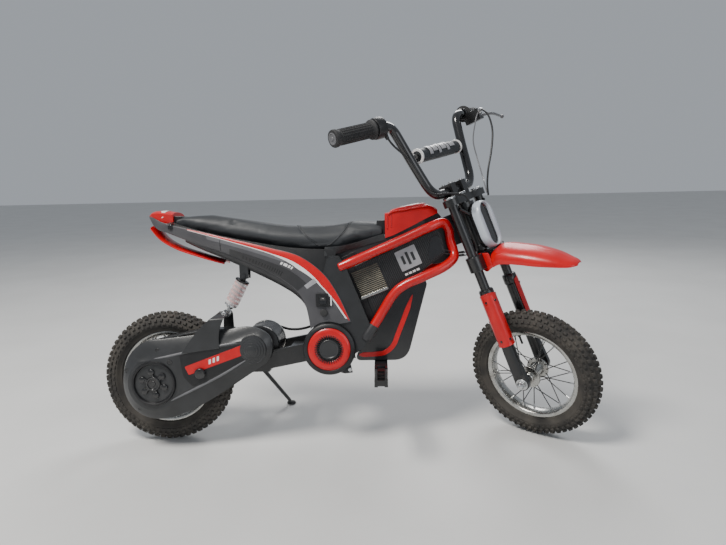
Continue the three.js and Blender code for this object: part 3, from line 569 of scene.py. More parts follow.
def spoke_set():
    """Laced spokes with their bent heads, and their nipples at the rim."""
    bars, nipples = [], []
    step = tau / SPOKES_PER_SIDE
    for i in range(SPOKES_PER_SIDE):
        for side in (-1, 1):
            start = i * step + (step / 2 if side > 0 else 0)
            end = start + (0.42 if i % 2 else -0.42)
            inner = Vector((FLANGE_RADIUS * cos(start), side * FLANGE_Y, FLANGE_RADIUS * sin(start)))
            outer = Vector((SPOKE_SEAT_RADIUS * cos(end), side * 2, SPOKE_SEAT_RADIUS * sin(end)))
            along = (outer - inner).normalized()
            bars.append(rod(inner, outer, 1.15, 8))
            bars.append(rod(inner + Vector((0, side * 1.6, 0)), inner - Vector((0, side * 3.4, 0)), 1.9, 8))
            nipples.append(rod(outer - along * 9, outer, 2.0, 8))
            nipples.append(rod(outer - along * 1.6, outer, 3.1, 10))
    return merged(*bars), merged(*nipples)


def acorn_nut(clamp_at, side, radius=10.5):
    """Washer, hexagon and domed cap on an axle end."""
    washer = turned([(6, 0), (13.4, 0), (13.9, 0.7), (13.4, 1.6), (6, 1.6), (6, 0)], 40)
    hexagon = turned([(0, 1.6), (radius, 1.6), (radius, 8.4), (radius - 1.2, 9), (0, 9)], 6)
    dome = turned([(8.2, 8.9), (8.0, 11), (6.6, 14), (3.8, 16), (0, 16.7)], 32)
    return sided(moved(merged(washer, hexagon, dome), at(0, clamp_at, 0)), side)


def make_wheel(end, base, hub_profile, clamp_at):
    body = BODY_OF[end + "_tyre"]
    piece(end + "_tyre_body", body, TYRE, carcass(), base, (end + "_tyre",), angle=50)
    piece(end + "_tyre_knobs", body, TYRE, tread(), base, bevel=0.5, segments=1, angle=30)
    piece(end + "_rim_ring", body, ALLOY, rim_shape(), base, (end + "_rim",), angle=40)
    bars, nipples = spoke_set()
    piece(end + "_spokes", body, SPOKE, bars, base)
    piece(end + "_nipples", body, ZINC, nipples, base)
    piece(end + "_hub_shell", body, ALLOY, turned(hub_profile, 64), base, (end + "_hub",), bevel=0.5)
    axle = merged(rod((0, -78, 0), (0, 78, 0), 5.9, 24), acorn_nut(clamp_at, 1), acorn_nut(clamp_at, -1))
    piece(end + "_axle_and_nuts", BODY_OF[end + "_axle"], ZINC, axle, base, (end + "_axle",), bevel=0.3)
    stem = merged(rod((0, 0, 93), (0, 0, 98), 4.2, 12), rod((0, 0, 74), (0, 0, 97), 2.6, 12))
    piece(end + "_valve", body, BLACK, stem, base, bevel=0.4)


def gear(teeth, pitch_radius, near, far, depth=2.0):
    outline = []
    for i in range(teeth * 4):
        radius = pitch_radius + (depth * 0.5 if i % 4 in (0, 1) else -depth * 0.6)
        outline.append(polar(radius, tau * (i + 0.5) / (teeth * 4)))
    return prism(outline, near, far)


def ring_of_holes(count, radius, hole, near, far):
    """Dark round recesses set just proud of a disc."""
    return merged(*[rod((x, near, z), (x, far, z), hole, 16) for x, z in circle(radius, count)])


def make_wheels():
    front_hub = [
        (6.3, -38), (12, -38), (13.6, -36), (14, -29), (26, -28.2), (27, -26), (26, -23.8), (17, -21)
    ]
    front_hub += [(14.5, -14), (13.6, 0), (14.5, 14), (17, 21), (26, 23.8), (27, 26), (26, 28.2), (14, 29)]
    front_hub += [(13.6, 36), (12, 38), (6.3, 38), (6.3, -38)]
    make_wheel("front", FRONT_WHEEL, front_hub, 67.3)
    rear_hub = [(6.3, -55), (14.5, -55), (15, -54), (15, -50), (18, -47), (18, -32), (26, -28), (27, -26)]
    rear_hub += [(26, -24), (15, -20), (15, 20), (26, 24), (27, 26), (26, 28), (18, 32), (18, 39), (15, 42)]
    rear_hub += [(15, 54), (6.3, 54), (6.3, -55)]
    make_wheel("rear", REAR_WHEEL, rear_hub, 69.3)
    body = BODY_OF["rear_hub"]
    sprocket = gear(SPROCKET_TEETH, SPROCKET_RADIUS - 0.6, CHAIN_LINE - 1.3, CHAIN_LINE + 1.3)
    piece("drive_sprocket", body, ZINC, sprocket, REAR_WHEEL, bevel=0.2, segments=1)
    piece(
        "sprocket_windows", body, BLACK, ring_of_holes(6, 35, 9, CHAIN_LINE - 1.5, CHAIN_LINE + 1.5),
        REAR_WHEEL
    )
    disc = turned([(15, 39), (48, 39), (48.4, 39.4), (48.4, 41.1), (48, 41.5), (15, 41.5), (15, 39)], 96)
    piece("brake_disc", body, ZINC, disc, REAR_WHEEL)
    piece("disc_holes", body, BLACK, ring_of_holes(18, 42, 2.6, 38.8, 41.7), REAR_WHEEL)
    piece("disc_windows", body, BLACK, ring_of_holes(6, 27, 6.5, 38.8, 41.7), REAR_WHEEL)


# ------------------------------------------------------------------ swingarm, chain case and drive


def screw(x, y, z, radius=4.4, side=-1):
    """Sunk screw: a dark cup with a socket head in it, facing sideways."""
    cup = turned(
        [(radius - 0.9, 0), (radius, 0), (radius, 0.8), (radius - 0.5, 1.1), (radius - 0.9, 0.6)], 24
    )
    head = turned(
        [(0, -0.6), (radius - 1.2, -0.6), (radius - 1.6, 0.3), (1.9, 0.5), (1.5, -0.3), (0, -0.3)], 24
    )
    return moved(sided(merged(cup, head), side), at(x, y, z))


def crossings(point, direction, outline, slack=0.0):
    """How far along a direction from a point an outline's edges are met."""
    reaches = []
    for k, a in enumerate(outline):
        a, b = Vector(a), Vector(outline[(k + 1) % len(outline)])
        edge, gap = b - a, a - point
        cross = direction.x * edge.y - direction.y * edge.x
        if abs(cross) < 1e-9:
            continue
        share = (gap.x * direction.y - gap.y * direction.x) / cross
        if -slack <= share <= 1 + slack:
            reaches.append((gap.x * edge.y - gap.y * edge.x) / cross)
    return reaches


def by_angle(outline, middle, n):
    """The outline sampled where rays from a middle point leave it."""
    out = []
    for ray in circle(1, n):
        ray = Vector(ray)
        reach = max([far for far in crossings(middle, ray, outline, 1e-6) if far > 0], default=1)
        out.append((middle + ray * reach)[:])
    return out


def arc_points(middle, radius, start, end, n):
    """Points round a middle between two angles in degrees."""
    out = []
    for i in range(n + 1):
        x, z = polar(radius, radians(start + (end - start) * i / n))
        out.append((middle[0] + x, middle[1] + z))
    return out


def curve_points(controls, n):
    """Points on one Bezier stretch with three or four controls."""
    out = []
    for i in range(1, n + 1):
        t = i / n
        points = [Vector(c) for c in controls]
        while len(points) > 1:
            points = [a.lerp(b, t) for a, b in zip(points, points[1:])]
        out.append(points[0][:])
    return out


def case_outline():
    outline = [(0, 75)]
    outline += curve_points([(0, 75), (-46, 75), (-80, 112), (-80, 160)], 14)
    outline += curve_points([(-80, 160), (-80, 214), (-52, 254), (-8, 260)], 14)
    outline += curve_points([(-8, 260), (90, 268), (190, 286)], 10)
    outline += curve_points([(190, 286), (236, 294), (262, 268)], 8)
    outline += curve_points([(262, 268), (280, 240), (258, 206)], 8)
    outline += [(214, 177), (168, 147)]
    outline += curve_points([(168, 147), (60, 75), (0, 75)], 12)
    return outline[:-1]


def cover_outline():
    """Edge of the raised cover: round the wheel disc, then out to the motor."""
    outline = arc_points((-3, 160), 61, 318, 122, 26)
    outline += [(60, 232), (140, 247), (222, 262)]
    outline += arc_points((226, 238), 26, 70, -40, 6)
    outline += [(213, 205), (130, 167)]
    return outline


def make_case():
    body = BODY_OF["chain_case"]
    middle = Vector((62, 196))
    outer = by_angle(case_outline(), middle, 160)
    inner = by_angle(cover_outline(), middle, 160)

    def between(share, lift):
        return [
            (a[0] + (b[0] - a[0]) * share, lift, a[1] + (b[1] - a[1]) * share) for a, b in zip(outer, inner)
        ]

    rings = [between(0.0, -72.5), between(0.0, -80.5), between(0.06, -82.0), between(0.5, -87.0)]
    rings += [between(0.94, -92.6), between(1.04, -93.7), between(1.12, -93.9)]
    piece("chain_case_shell", body, CASE_BLACK, loft(rings), replaces=("chain_case",), angle=24)

    def top(s, t, r):
        return -40 + 215 * s, -74 + 36 * t, 244 + 34 * sin(pi / 2 * min(1, s * 1.08)) + 4 * r

    piece("chain_case_top", body, CASE_BLACK, grid(top, 24, 4), bevel=0.8)
    seam = [(x, -94.0, z) for x, z in ((62, 222), (66, 200), (78, 176), (86, 158))]
    piece("case_seam", body, BLACK, swept(route(seam, 24), 0.7, 8), angle=60)
    # The rib and the crease ridge are the case's own plastic, made lighter grey as a painted highlight along their
    # lit edges.
    rib = [(x, -94.2, z) for x, z in ((36, 122), (90, 148), (150, 178), (210, 213))]
    piece("case_rib_painted_highlight", body, PANEL_MID, swept(route(rib, 30), bulging(2.8, 1.6), 12), angle=60)
    crease = [(-33, -89.5, 213), (20, -91.5, 222), (100, -92.5, 238), (160, -92.6, 249), (214, -91, 257)]
    piece("case_crease_painted_highlight", body, PANEL_MID, swept(route(crease, 40), bulging(3.2, 2.2), 12), angle=60)
    # A black film over the cover's middle, between the crease and the rib: painted shade on the recessed face.
    shaded_field = rounded([(58, 228), (214, 254), (236, 238), (212, 216), (150, 184), (88, 153), (66, 176)], 6)
    piece("case_field_painted_shade", body, BLACK, prism(shaded_field, -93.2, -94.3), bevel=0.4)
    places = [(7, -88.2, 236), (-66, -86.4, 190), (36, -94.0, 211), (-40, -86.4, 103)]
    piece("case_screws", body, GLOSS_BLACK, merged(*[screw(x, y, z, 6.0) for x, y, z in places]))
    make_case_disc(body)
    make_case_label(body)
    make_motor_cap(body)
    make_shock_bracket(body)


def make_case_disc(body):
    base = BIKE @ at(-3, 0, 162)
    dish = turned(
        [(0, -93.4), (43, -93.4), (45, -98.6), (47, -99.6), (50, -99), (51.5, -96), (52, -90), (0, -90)], 96
    )
    piece("case_disc", body, BLACK, dish, base, angle=32)
    arms = []
    for i in range(6):
        spin = Matrix.Rotation(radians(60 * i + 20), 4, "Y")
        lobe = turned([(7.6, -92), (7.4, -97.4), (6.2, -98.8), (0, -99.4)], 24)
        arms += [
            moved(box((9, -97.6, -4.6), (27, -92.5, 4.6)), spin), moved(moved(lobe, at(27, 0, 0)), spin)
        ]
    piece("case_spider", body, GLOSS_BLACK, merged(*arms), base, bevel=1.0, segments=3)
    boss = turned(
        [
            (17, -92), (17, -98.4), (15.6, -100.4), (12.4, -100.4), (11.4, -97.4), (6, -97.4), (5.4, -99),
            (0, -99)
        ],
        48
    )
    piece("case_boss", body, GLOSS_BLACK, boss, base, bevel=0.4)


def make_case_label(body):
    label = rounded([(70, 200), (201, 248), (209, 227), (79, 181)], 2.5)
    piece("case_label", body, RED, prism(label, -93.6, -94.7), bevel=0.3)
    slope = atan2(48, 131)
    marks = []
    for i in range(3):
        bar = [(x + 10 * i, z) for x, z in ((-2, -5), (3.4, -5), (7.4, 5), (2, 5))]
        sloped = [(x * cos(slope) - z * sin(slope), x * sin(slope) + z * cos(slope)) for x, z in bar]
        marks.append(prism([(x + 126, z + 210.5) for x, z in sloped], -94.6, -95.0))
    piece("case_label_marks", body, WHITE, merged(*marks))
    knob_cap = turned([(12.6, -93), (12.6, -101), (11, -103.4), (0, -104)], 48)
    piece("case_knob", body, GLOSS_BLACK, knob_cap, BIKE @ at(106, 0, 185), bevel=0.5)


def make_motor_cap(body):
    profile = [(33, -84), (33, -91), (31.6, -93.4), (27.4, -94.2), (26.6, -95.6), (22, -96.6), (21.2, -98)]
    profile += [(16.4, -99.2), (15.6, -100.6), (10.4, -101.8), (9.4, -103), (5, -104), (0, -104.4)]
    cap = turned(profile, 72)
    piece("motor_cap", body, CASE_BLACK, cap, BIKE @ at(225, 0, 237), angle=20)


def make_shock_bracket(body):
    def place(s, t, r):
        left, right = 64 + 82 * t, 152 + 17 * t
        inward = min(max((t - 0.84) / 0.13, 0), 1)
        blend = inward * inward * (3 - 2 * inward)
        x = left + (right - left) * s - 7 * sin(pi * t)
        return x, -93.6 + 31.6 * blend - 3.2 * r, 230 + 92 * t + 12 * s * (1 - t)

    piece("shock_bracket", body, CASE_BLACK, grid(place, 8, 36), bevel=0.8)
    tongue = rounded([(144, 268), (170, 272), (168, 316), (157, 326), (146, 318)], 6)
    inner = SHOCK_Y + 9.8
    piece("shock_bracket_tongue", body, STEEL_BLACK, prism(tongue, inner, inner + 2.6), bevel=0.6)
    foot_x, foot_z = SHOCK_FOOT
    shank = rod((foot_x, -70, foot_z), (foot_x, SHOCK_Y + 15, foot_z), 3.9, 20)
    head = turned([(0, -70), (5.6, -70), (6.6, -69), (6.6, -65.5), (0, -65.5)], 24)
    piece("shock_foot_bolt", body, ZINC, merged(shank, moved(head, at(foot_x, 0, foot_z))), bevel=0.3)


def make_swingarm():
    body = BODY_OF["swingarm"]
    dressed_node("swingarm", STEEL_BLACK, bevel=2.2, segments=3)
    weld = []
    for side in (-1, 1):
        for x, z in ((300, 208), (330, 226), (206, 178), (258, 189)):
            weld.append(rod((x, side * 56.6, z - 8), (x, side * 56.6, z + 8), 1.6, 8))
    piece("arm_welds", body, STEEL_BLACK, merged(*weld), bevel=0.3)
    nut = turned([(0, 68.5), (5.5, 68.5), (5.5, 72), (4.4, 73), (0, 73)], 6)
    nuts = [moved(nut, at(x, 0, z)) for x, z in ((34, 164), (-12, 156))]
    piece("axle_adjusters", body, ZINC, merged(*nuts, *map(mirrored, nuts)), bevel=0.3)
    can_rings = [(0, -43), (42, -43), (44.5, -42), (45.8, -39.5)]
    for i in range(9):
        y = -32 + 8.6 * i
        can_rings += [(45.8, y), (44.2, y + 0.8), (44.2, y + 3.2), (45.8, y + 4)]
    can_rings += [(45.8, 45.5), (44.5, 47.6), (42, 48), (0, 48)]
    can_base = BIKE @ at(MOTOR[0], 0, MOTOR[1])
    piece("motor_shell", body, STEEL_BLACK, turned(can_rings, 72), can_base, ("motor_can",), angle=30)
    dressed_node("motor_rotor", ZINC)
    band = turned([(46.2, 42), (47, 42.4), (47, 44.4), (46.2, 45)], 72)
    piece("motor_band", body, ALLOY, band, can_base, angle=30)
    lead = [(236, 50, 262), (250, 56, 268), (290, 52, 258), (330, 46, 262), (372, 38, 280), (410, 30, 300)]
    piece("motor_lead", body, BLACK, swept(route(lead, 40), 3.2, 10), angle=60)
    dressed_node("brake_caliper", STEEL_BLACK, bevel=1.2, segments=3)
    dressed_node("brake_arm", ZINC, bevel=0.6)
    make_chain(body)
    make_stand()


def make_chain(body):
    """Roller chain laid round both sprockets."""
    outline = belt_outline((0, TYRE_RADIUS), SPROCKET_RADIUS, MOTOR, 14.3, 60)
    lengths = [0.0]
    for a, b in zip(outline, outline[1:] + outline[:1]):
        lengths.append(lengths[-1] + dist(a, b))
    count = 2 * round(lengths[-1] / CHAIN_PITCH / 2)

    def along(distance):
        distance %= lengths[-1]
        k = next(i for i in range(len(outline)) if lengths[i + 1] >= distance)
        a, b = Vector(outline[k]), Vector(outline[(k + 1) % len(outline)])
        return a.lerp(b, (distance - lengths[k]) / max(lengths[k + 1] - lengths[k], 1e-6))

    links = []
    step = lengths[-1] / count
    for i in range(count):
        a, b = along(i * step), along((i + 1) * step)
        links.append(rod((a.x, CHAIN_LINE - 1.7, a.y), (a.x, CHAIN_LINE + 1.7, a.y), 1.65, 8))
        offset = 2.3 if i % 2 else 3.1
        shape = belt_outline(a, 2.5, b, 2.49, 4)
        for side in (-1, 1):
            links.append(prism(shape, CHAIN_LINE + side * offset - 0.35, CHAIN_LINE + side * offset + 0.35))
    piece("roller_chain", body, ZINC, merged(*links), replaces=("drive_chain",))


def make_stand():
    pivot, foot = Vector((205, 74, 160)), Vector((262, 196, 25.3))
    along = (foot - pivot).normalized()
    leg = route([pivot + along * reach for reach in (0, 60, 130, 180)], 20)
    shoe = []
    for lift, size in ((-4, 1.0), (-3, 1.08), (1, 1.05), (3.4, 0.8)):
        shoe.append([foot + Vector((x * size, y * size * 0.8, lift)) for x, y in circle(11.5, 24)])
    boss = swept([pivot + Vector((0, y, 0)) for y in (-8.2, -4, 4, 8)], bulging(8.2, 3.2), 24)
    body = BODY_OF["kickstand"]
    whole = merged(swept(leg, lambda f: 5.6 - 0.9 * f, 20), boss)
    piece("stand_leg", body, STEEL_BLACK, whole, replaces=("kickstand",), angle=50)
    piece("stand_shoe", body, GRIP, loft(shoe), bevel=0.6)


# ------------------------------------------------------------------ shock


def make_shock():
    upper, lower = BODY_OF["shock_body"], BODY_OF["shock_rod"]
    length = dist(SHOCK_TOP, SHOCK_FOOT)
    eye = [(4.3, -7), (8.6, -7), (9, -6.2), (9, 6.2), (8.6, 7), (4.3, 7), (4.3, -7)]
    neck = [(9, -12), (9, -52), (8.4, -52.5), (4.4, -52.5), (4.4, -12)]
    cone = turned([(0, 3), (6, 3), (6.6, 14), (0, 14)], 24)
    damper = merged(turned(eye, 32), hanging(turned([(r, -z) for r, z in neck], 32)), hanging(cone))
    piece("shock_damper", upper, STEEL_BLACK, damper, SHOCK, ("shock_body", "shock_spring"), bevel=0.3)
    seat = turned(
        [(4.4, 12.6), (15.6, 12.6), (17, 13.4), (17, 16.4), (15.8, 17.2), (4.4, 17.2), (4.4, 12.6)], 48
    )
    piece("shock_top_seat", upper, STEEL_BLACK, hanging(seat), SHOCK, bevel=0.3)
    turns, span, steps = 5.2, 54.0, 180
    helix = []
    for i in range(steps + 1):
        f = i / steps
        helix.append((*polar(13.2, tau * turns * f), -18.6 - (span - 1.2) * f))
    coil = piece("shock_coil", upper, COIL, swept(helix, 2.6, 12), SHOCK, angle=60)
    waist = [(16.6, 17.6), (16.9, 20), (15.9, 26), (16.9, 32), (15.9, 39), (16.9, 46), (15.9, 53)]
    waist += [(16.9, 60), (16.0, 67), (16.7, 73), (16.3, 75)]
    points, faces = turned(waist, 64)
    film = hanging((points, faces[:-2]))  # both ends stay open
    sleeve = piece("shock_sleeve", upper, FILM, film, SHOCK, angle=60)
    axis = Vector(JOINTS["shock_stroke"]["axis"])
    for soft in (coil, sleeve):
        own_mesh(soft)
    lower_eye = [(4.9, -7), (8.6, -7), (9, -6.2), (9, 6.2), (8.6, 7), (4.9, 7), (4.9, -7)]
    shaft = hanging(turned([(4, 42.5), (4, length - 8), (7.2, length - 6), (0, length - 6)], 24))
    foot = hanging(
        turned([(4.2, 76), (14.6, 76), (15, 77), (15, 79.4), (9, 81), (7.4, 86), (4.2, 86), (4.2, 76)], 48)
    )
    eye_low = moved(turned(lower_eye, 32), at(0, 0, -length))
    piece("shock_shaft", lower, ZINC, merged(shaft, foot, eye_low), SHOCK, ("shock_rod",), bevel=0.3)


# ------------------------------------------------------------------ bodywork


def make_frame():
    shell = dressed_node("main_frame", CHARCOAL, bevel=1.6, segments=3, angle=30)
    slim_plates(shell.data)
    dressed_node("head_tube", STEEL_BLACK)
    dressed_node("motor_controller", ALLOY, bevel=1.5, segments=3)
    dressed_node("battery_pack", BLACK, bevel=2.0, segments=3)
    dressed_node("footpeg_bar", STEEL_BLACK, bevel=0.7)
    dressed_node("pivot_bolt", ZINC, bevel=0.6)
    for label, side in SIDES:
        make_loop(label, side)
        make_peg(label, side)
        make_pivot_cover(label, side)
        make_side_panel(label, side)
        make_battery_side(label, side)
        make_belly_trim(label, side)
        lug = turned([(0, 75), (4.4, 75), (4.8, 75.6), (4.8, 79), (3.8, 80), (0, 80)], 24)
        piece(f"frame_lug_{label}", "chassis", ZINC, sided(moved(lug, at(446, 0, 186)), side), bevel=0.3)


def make_loop(label, side):
    """Painted frame loop round the battery cover, and the socket its foot stands in."""
    loop_route = [
        (424, 69, 419), (454, 68, 431.5), (500, 61, 450.5), (570, 58, 480), (632, 55, 507), (664, 42, 516),
        (678, 30, 500), (682, 26, 476), (689, 29, 452), (688, 38, 434), (664, 50, 415),
        (621, 57, 396), (572, 58, 375), (546, 58, 352), (520, 60, 312), (492, 68, 268),
    ]
    path = route([(x, side * y, z) for x, y, z in loop_route], 150)
    loop = swept(path, lambda f: 11 - 2.2 * max(0, 1 - min(f, 1 - f) * 70) ** 2, 32)
    piece(f"loop_tube_{label}", "chassis", RED_ENAMEL, loop, replaces=(f"frame_loop_{label}",), angle=60)
    foot_route = [(482, 69.5, 252), (485, 69, 257), (492.5, 67.5, 269.5), (502, 65, 284.5)]
    foot = [(x, side * y, z) for x, y, z in foot_route]
    socket = swept(foot, lambda f: 11.2 + 1.6 * min(1, f * 3), 32)
    piece(f"loop_socket_{label}", "chassis", PANEL_DARK, socket, bevel=0.8)


def curtain(upper, lower, side, inset=0):
    """Place function for a thin wall between two lines of (x, z, y) rows on one side of the bike."""

    def place(s, t, r):
        x, z, y = smooth_value(upper, s)
        low_x, low_z, low_y = smooth_value(lower, s)
        out = low_y + (y - low_y) * t - inset - 2.5 * (1 - r)
        return low_x + (x - low_x) * t, side * out, low_z + (z + 5 - low_z) * t

    return place


def make_infill():
    """Dark inner skins: under the seat, inside the panels' lower edge and behind the loops' nose."""
    seat_line = [(38, 520, 40), (80, 508, 46), (130, 496, 51), (180, 484, 54.5)]
    seat_line += [(240, 472, 58), (310, 460, 60.5), (372, 457, 62), (420, 455, 60)]
    panel_line = [(38, 512, 43), (80, 502, 49), (130, 490, 54), (180, 478, 57)]
    panel_line += [(240, 464, 61), (300, 446, 65), (352, 420, 70), (398, 380, 74)]
    for label, side in SIDES:

        def lip(s, t, r):
            along = 0.10 + 0.74 * s
            x, y, z = panel_point(along, 0.02, -1.0, side)
            fall = 15 * sin(pi * min(1, along * 1.1)) * t
            return x - 0.6 * fall, y - side * (9 * t * t + 2.2 * (1 - r)), z - fall

        skirt = grid(curtain(seat_line, panel_line, side, inset=1), 40, 8)
        piece(f"seat_skirt_{label}", "chassis", BLACK, skirt, bevel=0.6)
        piece(f"panel_lip_{label}", "chassis", PANEL_DARK, grid(lip, 50, 6), bevel=0.5)
    flank = [(420, 436), (462, 456), (512, 300), (486, 262), (440, 330), (414, 400)]
    piece("cover_flank", "chassis", BLACK, prism(flank, -44, 44), bevel=1.0)
    top_line = [(392, 461, 58), (430, 463, 55), (470, 472, 50), (510, 484, 43), (529, 489, 41)]
    foot_line = [(392, 444, 66), (430, 452, 48), (470, 463, 45), (510, 474, 44.5), (531, 480, 44)]
    for label, side in SIDES:
        apron = grid(curtain(top_line, foot_line, side), 24, 6)
        piece(f"seat_apron_{label}", "chassis", CHARCOAL, apron, bevel=0.6)
    nose = rounded([(640, 506), (664, 520), (676, 500), (681, 470), (684, 440), (664, 424), (640, 420)], 5)
    piece("cover_nose", "chassis", BLACK, prism(nose, -22, 22), bevel=2.0, segments=3)


def slim_plates(mesh):
    """Draws the front edge of the two upright frame plates back to the battery cover's open side."""
    to_bike = BIKE.inverted()
    corners = {(452, 452): (-26, -7), (470, 424): (-28, -6), (508, 280): (-10, -4)}
    for vertex in mesh.vertices:
        spot = to_bike @ vertex.co
        for (x, z), (shift_x, shift_z) in corners.items():
            if abs(spot.y) > 70 and hypot(spot.x - x, spot.z - z) < 3:
                vertex.co = BIKE @ (spot + Vector((shift_x, 0, shift_z)))


def make_peg(label, side):
    """Folding footpeg: the CAD cage with pointed teeth along its two rails."""
    node = f"footpeg_{label}"
    dressed_node(node, STEEL_BLACK, bevel=0.7)
    teeth = []
    for x in (-10.5, 10.5):
        for i in range(10):
            y = 20 + 8 * i
            teeth.append(loft([rectangle(x, y, 7.8, 3, 2.6), rectangle(x, y, 10, 1.6, 0.6)]))
    shape = sided(merged(*teeth), side)
    piece(f"peg_teeth_{label}", BODY_OF[node], STEEL_BLACK, shape, BIKE @ at(517, side * 106, 188))


def make_pivot_cover(label, side):
    profile = [
        (0, 76), (59.5, 76), (60, 77), (60, 82), (58, 86), (54, 88.4), (50, 89), (48.6, 87.4), (46, 86.6)
    ]
    profile += [(26, 86.6), (25, 88.5), (0, 88.5)]
    ring = [
        (27, 86.4), (27.4, 88.6), (29, 90), (34, 91.3), (41, 91), (46, 89.4), (48.4, 87.4), (48.4, 86.2)
    ]
    cap = [(22.6, 88), (22.6, 90.6), (21.4, 91.6), (19, 91.6), (18, 90.8), (0, 90.4)]
    foot = [(-1.2, 86, 22.6), (1.2, 86, 22.6), (1.2, 86, 33.4), (-1.2, 86, 33.4)]
    edge = [(-0.9, 92, 22.8), (0.9, 92, 22.8), (0.9, 92.4, 32.8), (-0.9, 92.4, 32.8)]
    fins = [moved(loft([foot, edge]), Matrix.Rotation(tau * i / 36, 4, "Y")) for i in range(36)]
    parts = [
        ("shell", turned(profile, 96), BLACK, 0), ("ring", turned(ring, 96), RED, 0),
        ("cap", turned(cap, 64), CASE_BLACK, 0), ("fins", merged(*fins), BLACK, 0.25),
    ]
    base = BIKE @ at(PIVOT[0], 0, PIVOT[1])
    for word, shape, finish, bevel in parts:
        replaces = (f"pivot_cover_{label}",) if word == "shell" else ()
        piece(
            f"pivot_{word}_{label}", "chassis", finish, sided(shape, side), base, replaces, bevel, angle=30
        )


PANEL_ROWS = [
    (22, 525, 44, 20, 506, 42), (80, 512, 52, 92, 478, 50), (180, 488, 60, 175, 449, 57),
    (270, 466, 67, 246, 419, 64), (337, 446, 74, 296, 392, 70), (391, 405, 79, 331, 364, 77),
    (424, 354, 79, 349, 330, 79), (450, 296, 79, 358, 280, 79),
]


def panel_point(s, t, lift, side):
    upper_x, upper_z, upper_y, lower_x, lower_z, lower_y = smooth_value(PANEL_ROWS, s)
    bulge = 4 * sin(pi * t) * sin(pi * min(1, 1.35 * s))
    ease = 1 if 0.06 < t < 0.94 else min(t, 1 - t) / 0.06
    y = lower_y + (upper_y - lower_y) * t + max(0, bulge) + lift - 1.6 * (1 - ease) ** 2
    return lower_x + (upper_x - lower_x) * t, side * y, lower_z + (upper_z - lower_z) * t


def panel_band(low, high, start, end, lift, side, n=60, rows=3):
    """Thin film on the side panel; its edges are shares of the height, or functions of the way along."""

    def edge(value, along):
        return value(along) if callable(value) else value

    def place(s, t, r):
        along = start + (end - start) * s
        lower = edge(low, along)
        across = lower + (edge(high, along) - lower) * t
        return panel_point(along, across, lift * r - 0.3 * (1 - r), side)

    return grid(place, n, rows)


def stripe_edge(s):
    """Lower edge of the red stripe, which is the upper edge of the white one."""
    return 0.985 - 0.27 * sin(pi * min(1, s * 0.62)) * min(1, (1.0 - s) / 0.24)


def white_edge(s):
    return stripe_edge(s) - 0.04 - 0.10 * max(0, 1 - abs(s - 0.60) / 0.16)


def light_edge(s):
    return stripe_edge(s) - 0.06


def shade_edge(s):
    return 0.34 + 0.08 * sin(pi * s)


def make_side_panel(label, side):
    """Side panel with its stripes, shades, code blocks and seam, cut round the pivot cover."""

    def shell(s, t, r):
        return panel_point(s, t, -3 * (1 - r), side)

    body = "chassis"
    panel = f"side_panel_{label}"
    made = piece(f"side_shell_{label}", body, PANEL_GREY, grid(shell, 96, 14), replaces=(panel,), angle=30)
    trim_round_pivot(made.data)
    ticks = []
    for i in range(15):
        s = 0.335 + 0.0145 * i
        ticks.append(panel_band(0.10, 0.27, s, s + 0.006, 0.55, side, 1, 2))
    bars = []
    for start, size in ((0.505, 0.012), (0.523, 0.022), (0.551, 0.012), (0.569, 0.008)):
        bars.append(panel_band(0.48, 0.58, start, start + size, 0.6, side, 2, 2))
    seam = [Vector(panel_point(0.245, t / 10, 0.25, side)) for t in range(1, 9)]
    films = [
        ("red", panel_band(stripe_edge, 0.985, 0.13, 0.985, 0.45, side), RED),
        ("white", panel_band(white_edge, stripe_edge, 0.13, 0.97, 0.42, side), WHITE),
        ("shade", panel_band(0.03, shade_edge, 0.28, 0.70, 0.3, side), PANEL_DARK),
        ("light", panel_band(0.60, light_edge, 0.2, 0.52, 0.3, side), PANEL_MID),
        ("tip", panel_band(0.30, 0.68, 0.700, 0.730, 0.5, side, 6), LABEL_GREY),
        ("ticks", merged(*ticks), BLACK),
        ("bars", merged(*bars), WHITE),
        ("seam", swept(seam, 0.6, 8), BLACK),
    ]
    for word, shape, colour in films:
        film = piece(f"side_{word}_{label}", body, colour, shape, angle=40)
        trim_round_pivot(film.data)
    piece(f"side_bolt_{label}", body, GLOSS_BLACK, screw(33, side * 46.4, 517, 6.5, side))
    if side < 0:
        make_controls()


def trim_round_pivot(mesh, radius=PIVOT_CLEARANCE / 1000):
    """Clears the pivot cover's circle out of a panel, leaving a clean round edge."""
    centre = BIKE @ Vector((PIVOT[0], 0, PIVOT[1]))
    across, up = BIKE.to_3x3() @ Vector((1000, 0, 0)), BIKE.to_3x3() @ Vector((0, 0, 1000))
    for vertex in mesh.vertices:
        gap = vertex.co - centre
        x, z = gap.dot(across), gap.dot(up)
        if hypot(x, z) < radius:
            reach = radius / max(hypot(x, z), 1e-6)
            vertex.co += across * (x * (reach - 1)) + up * (z * (reach - 1))


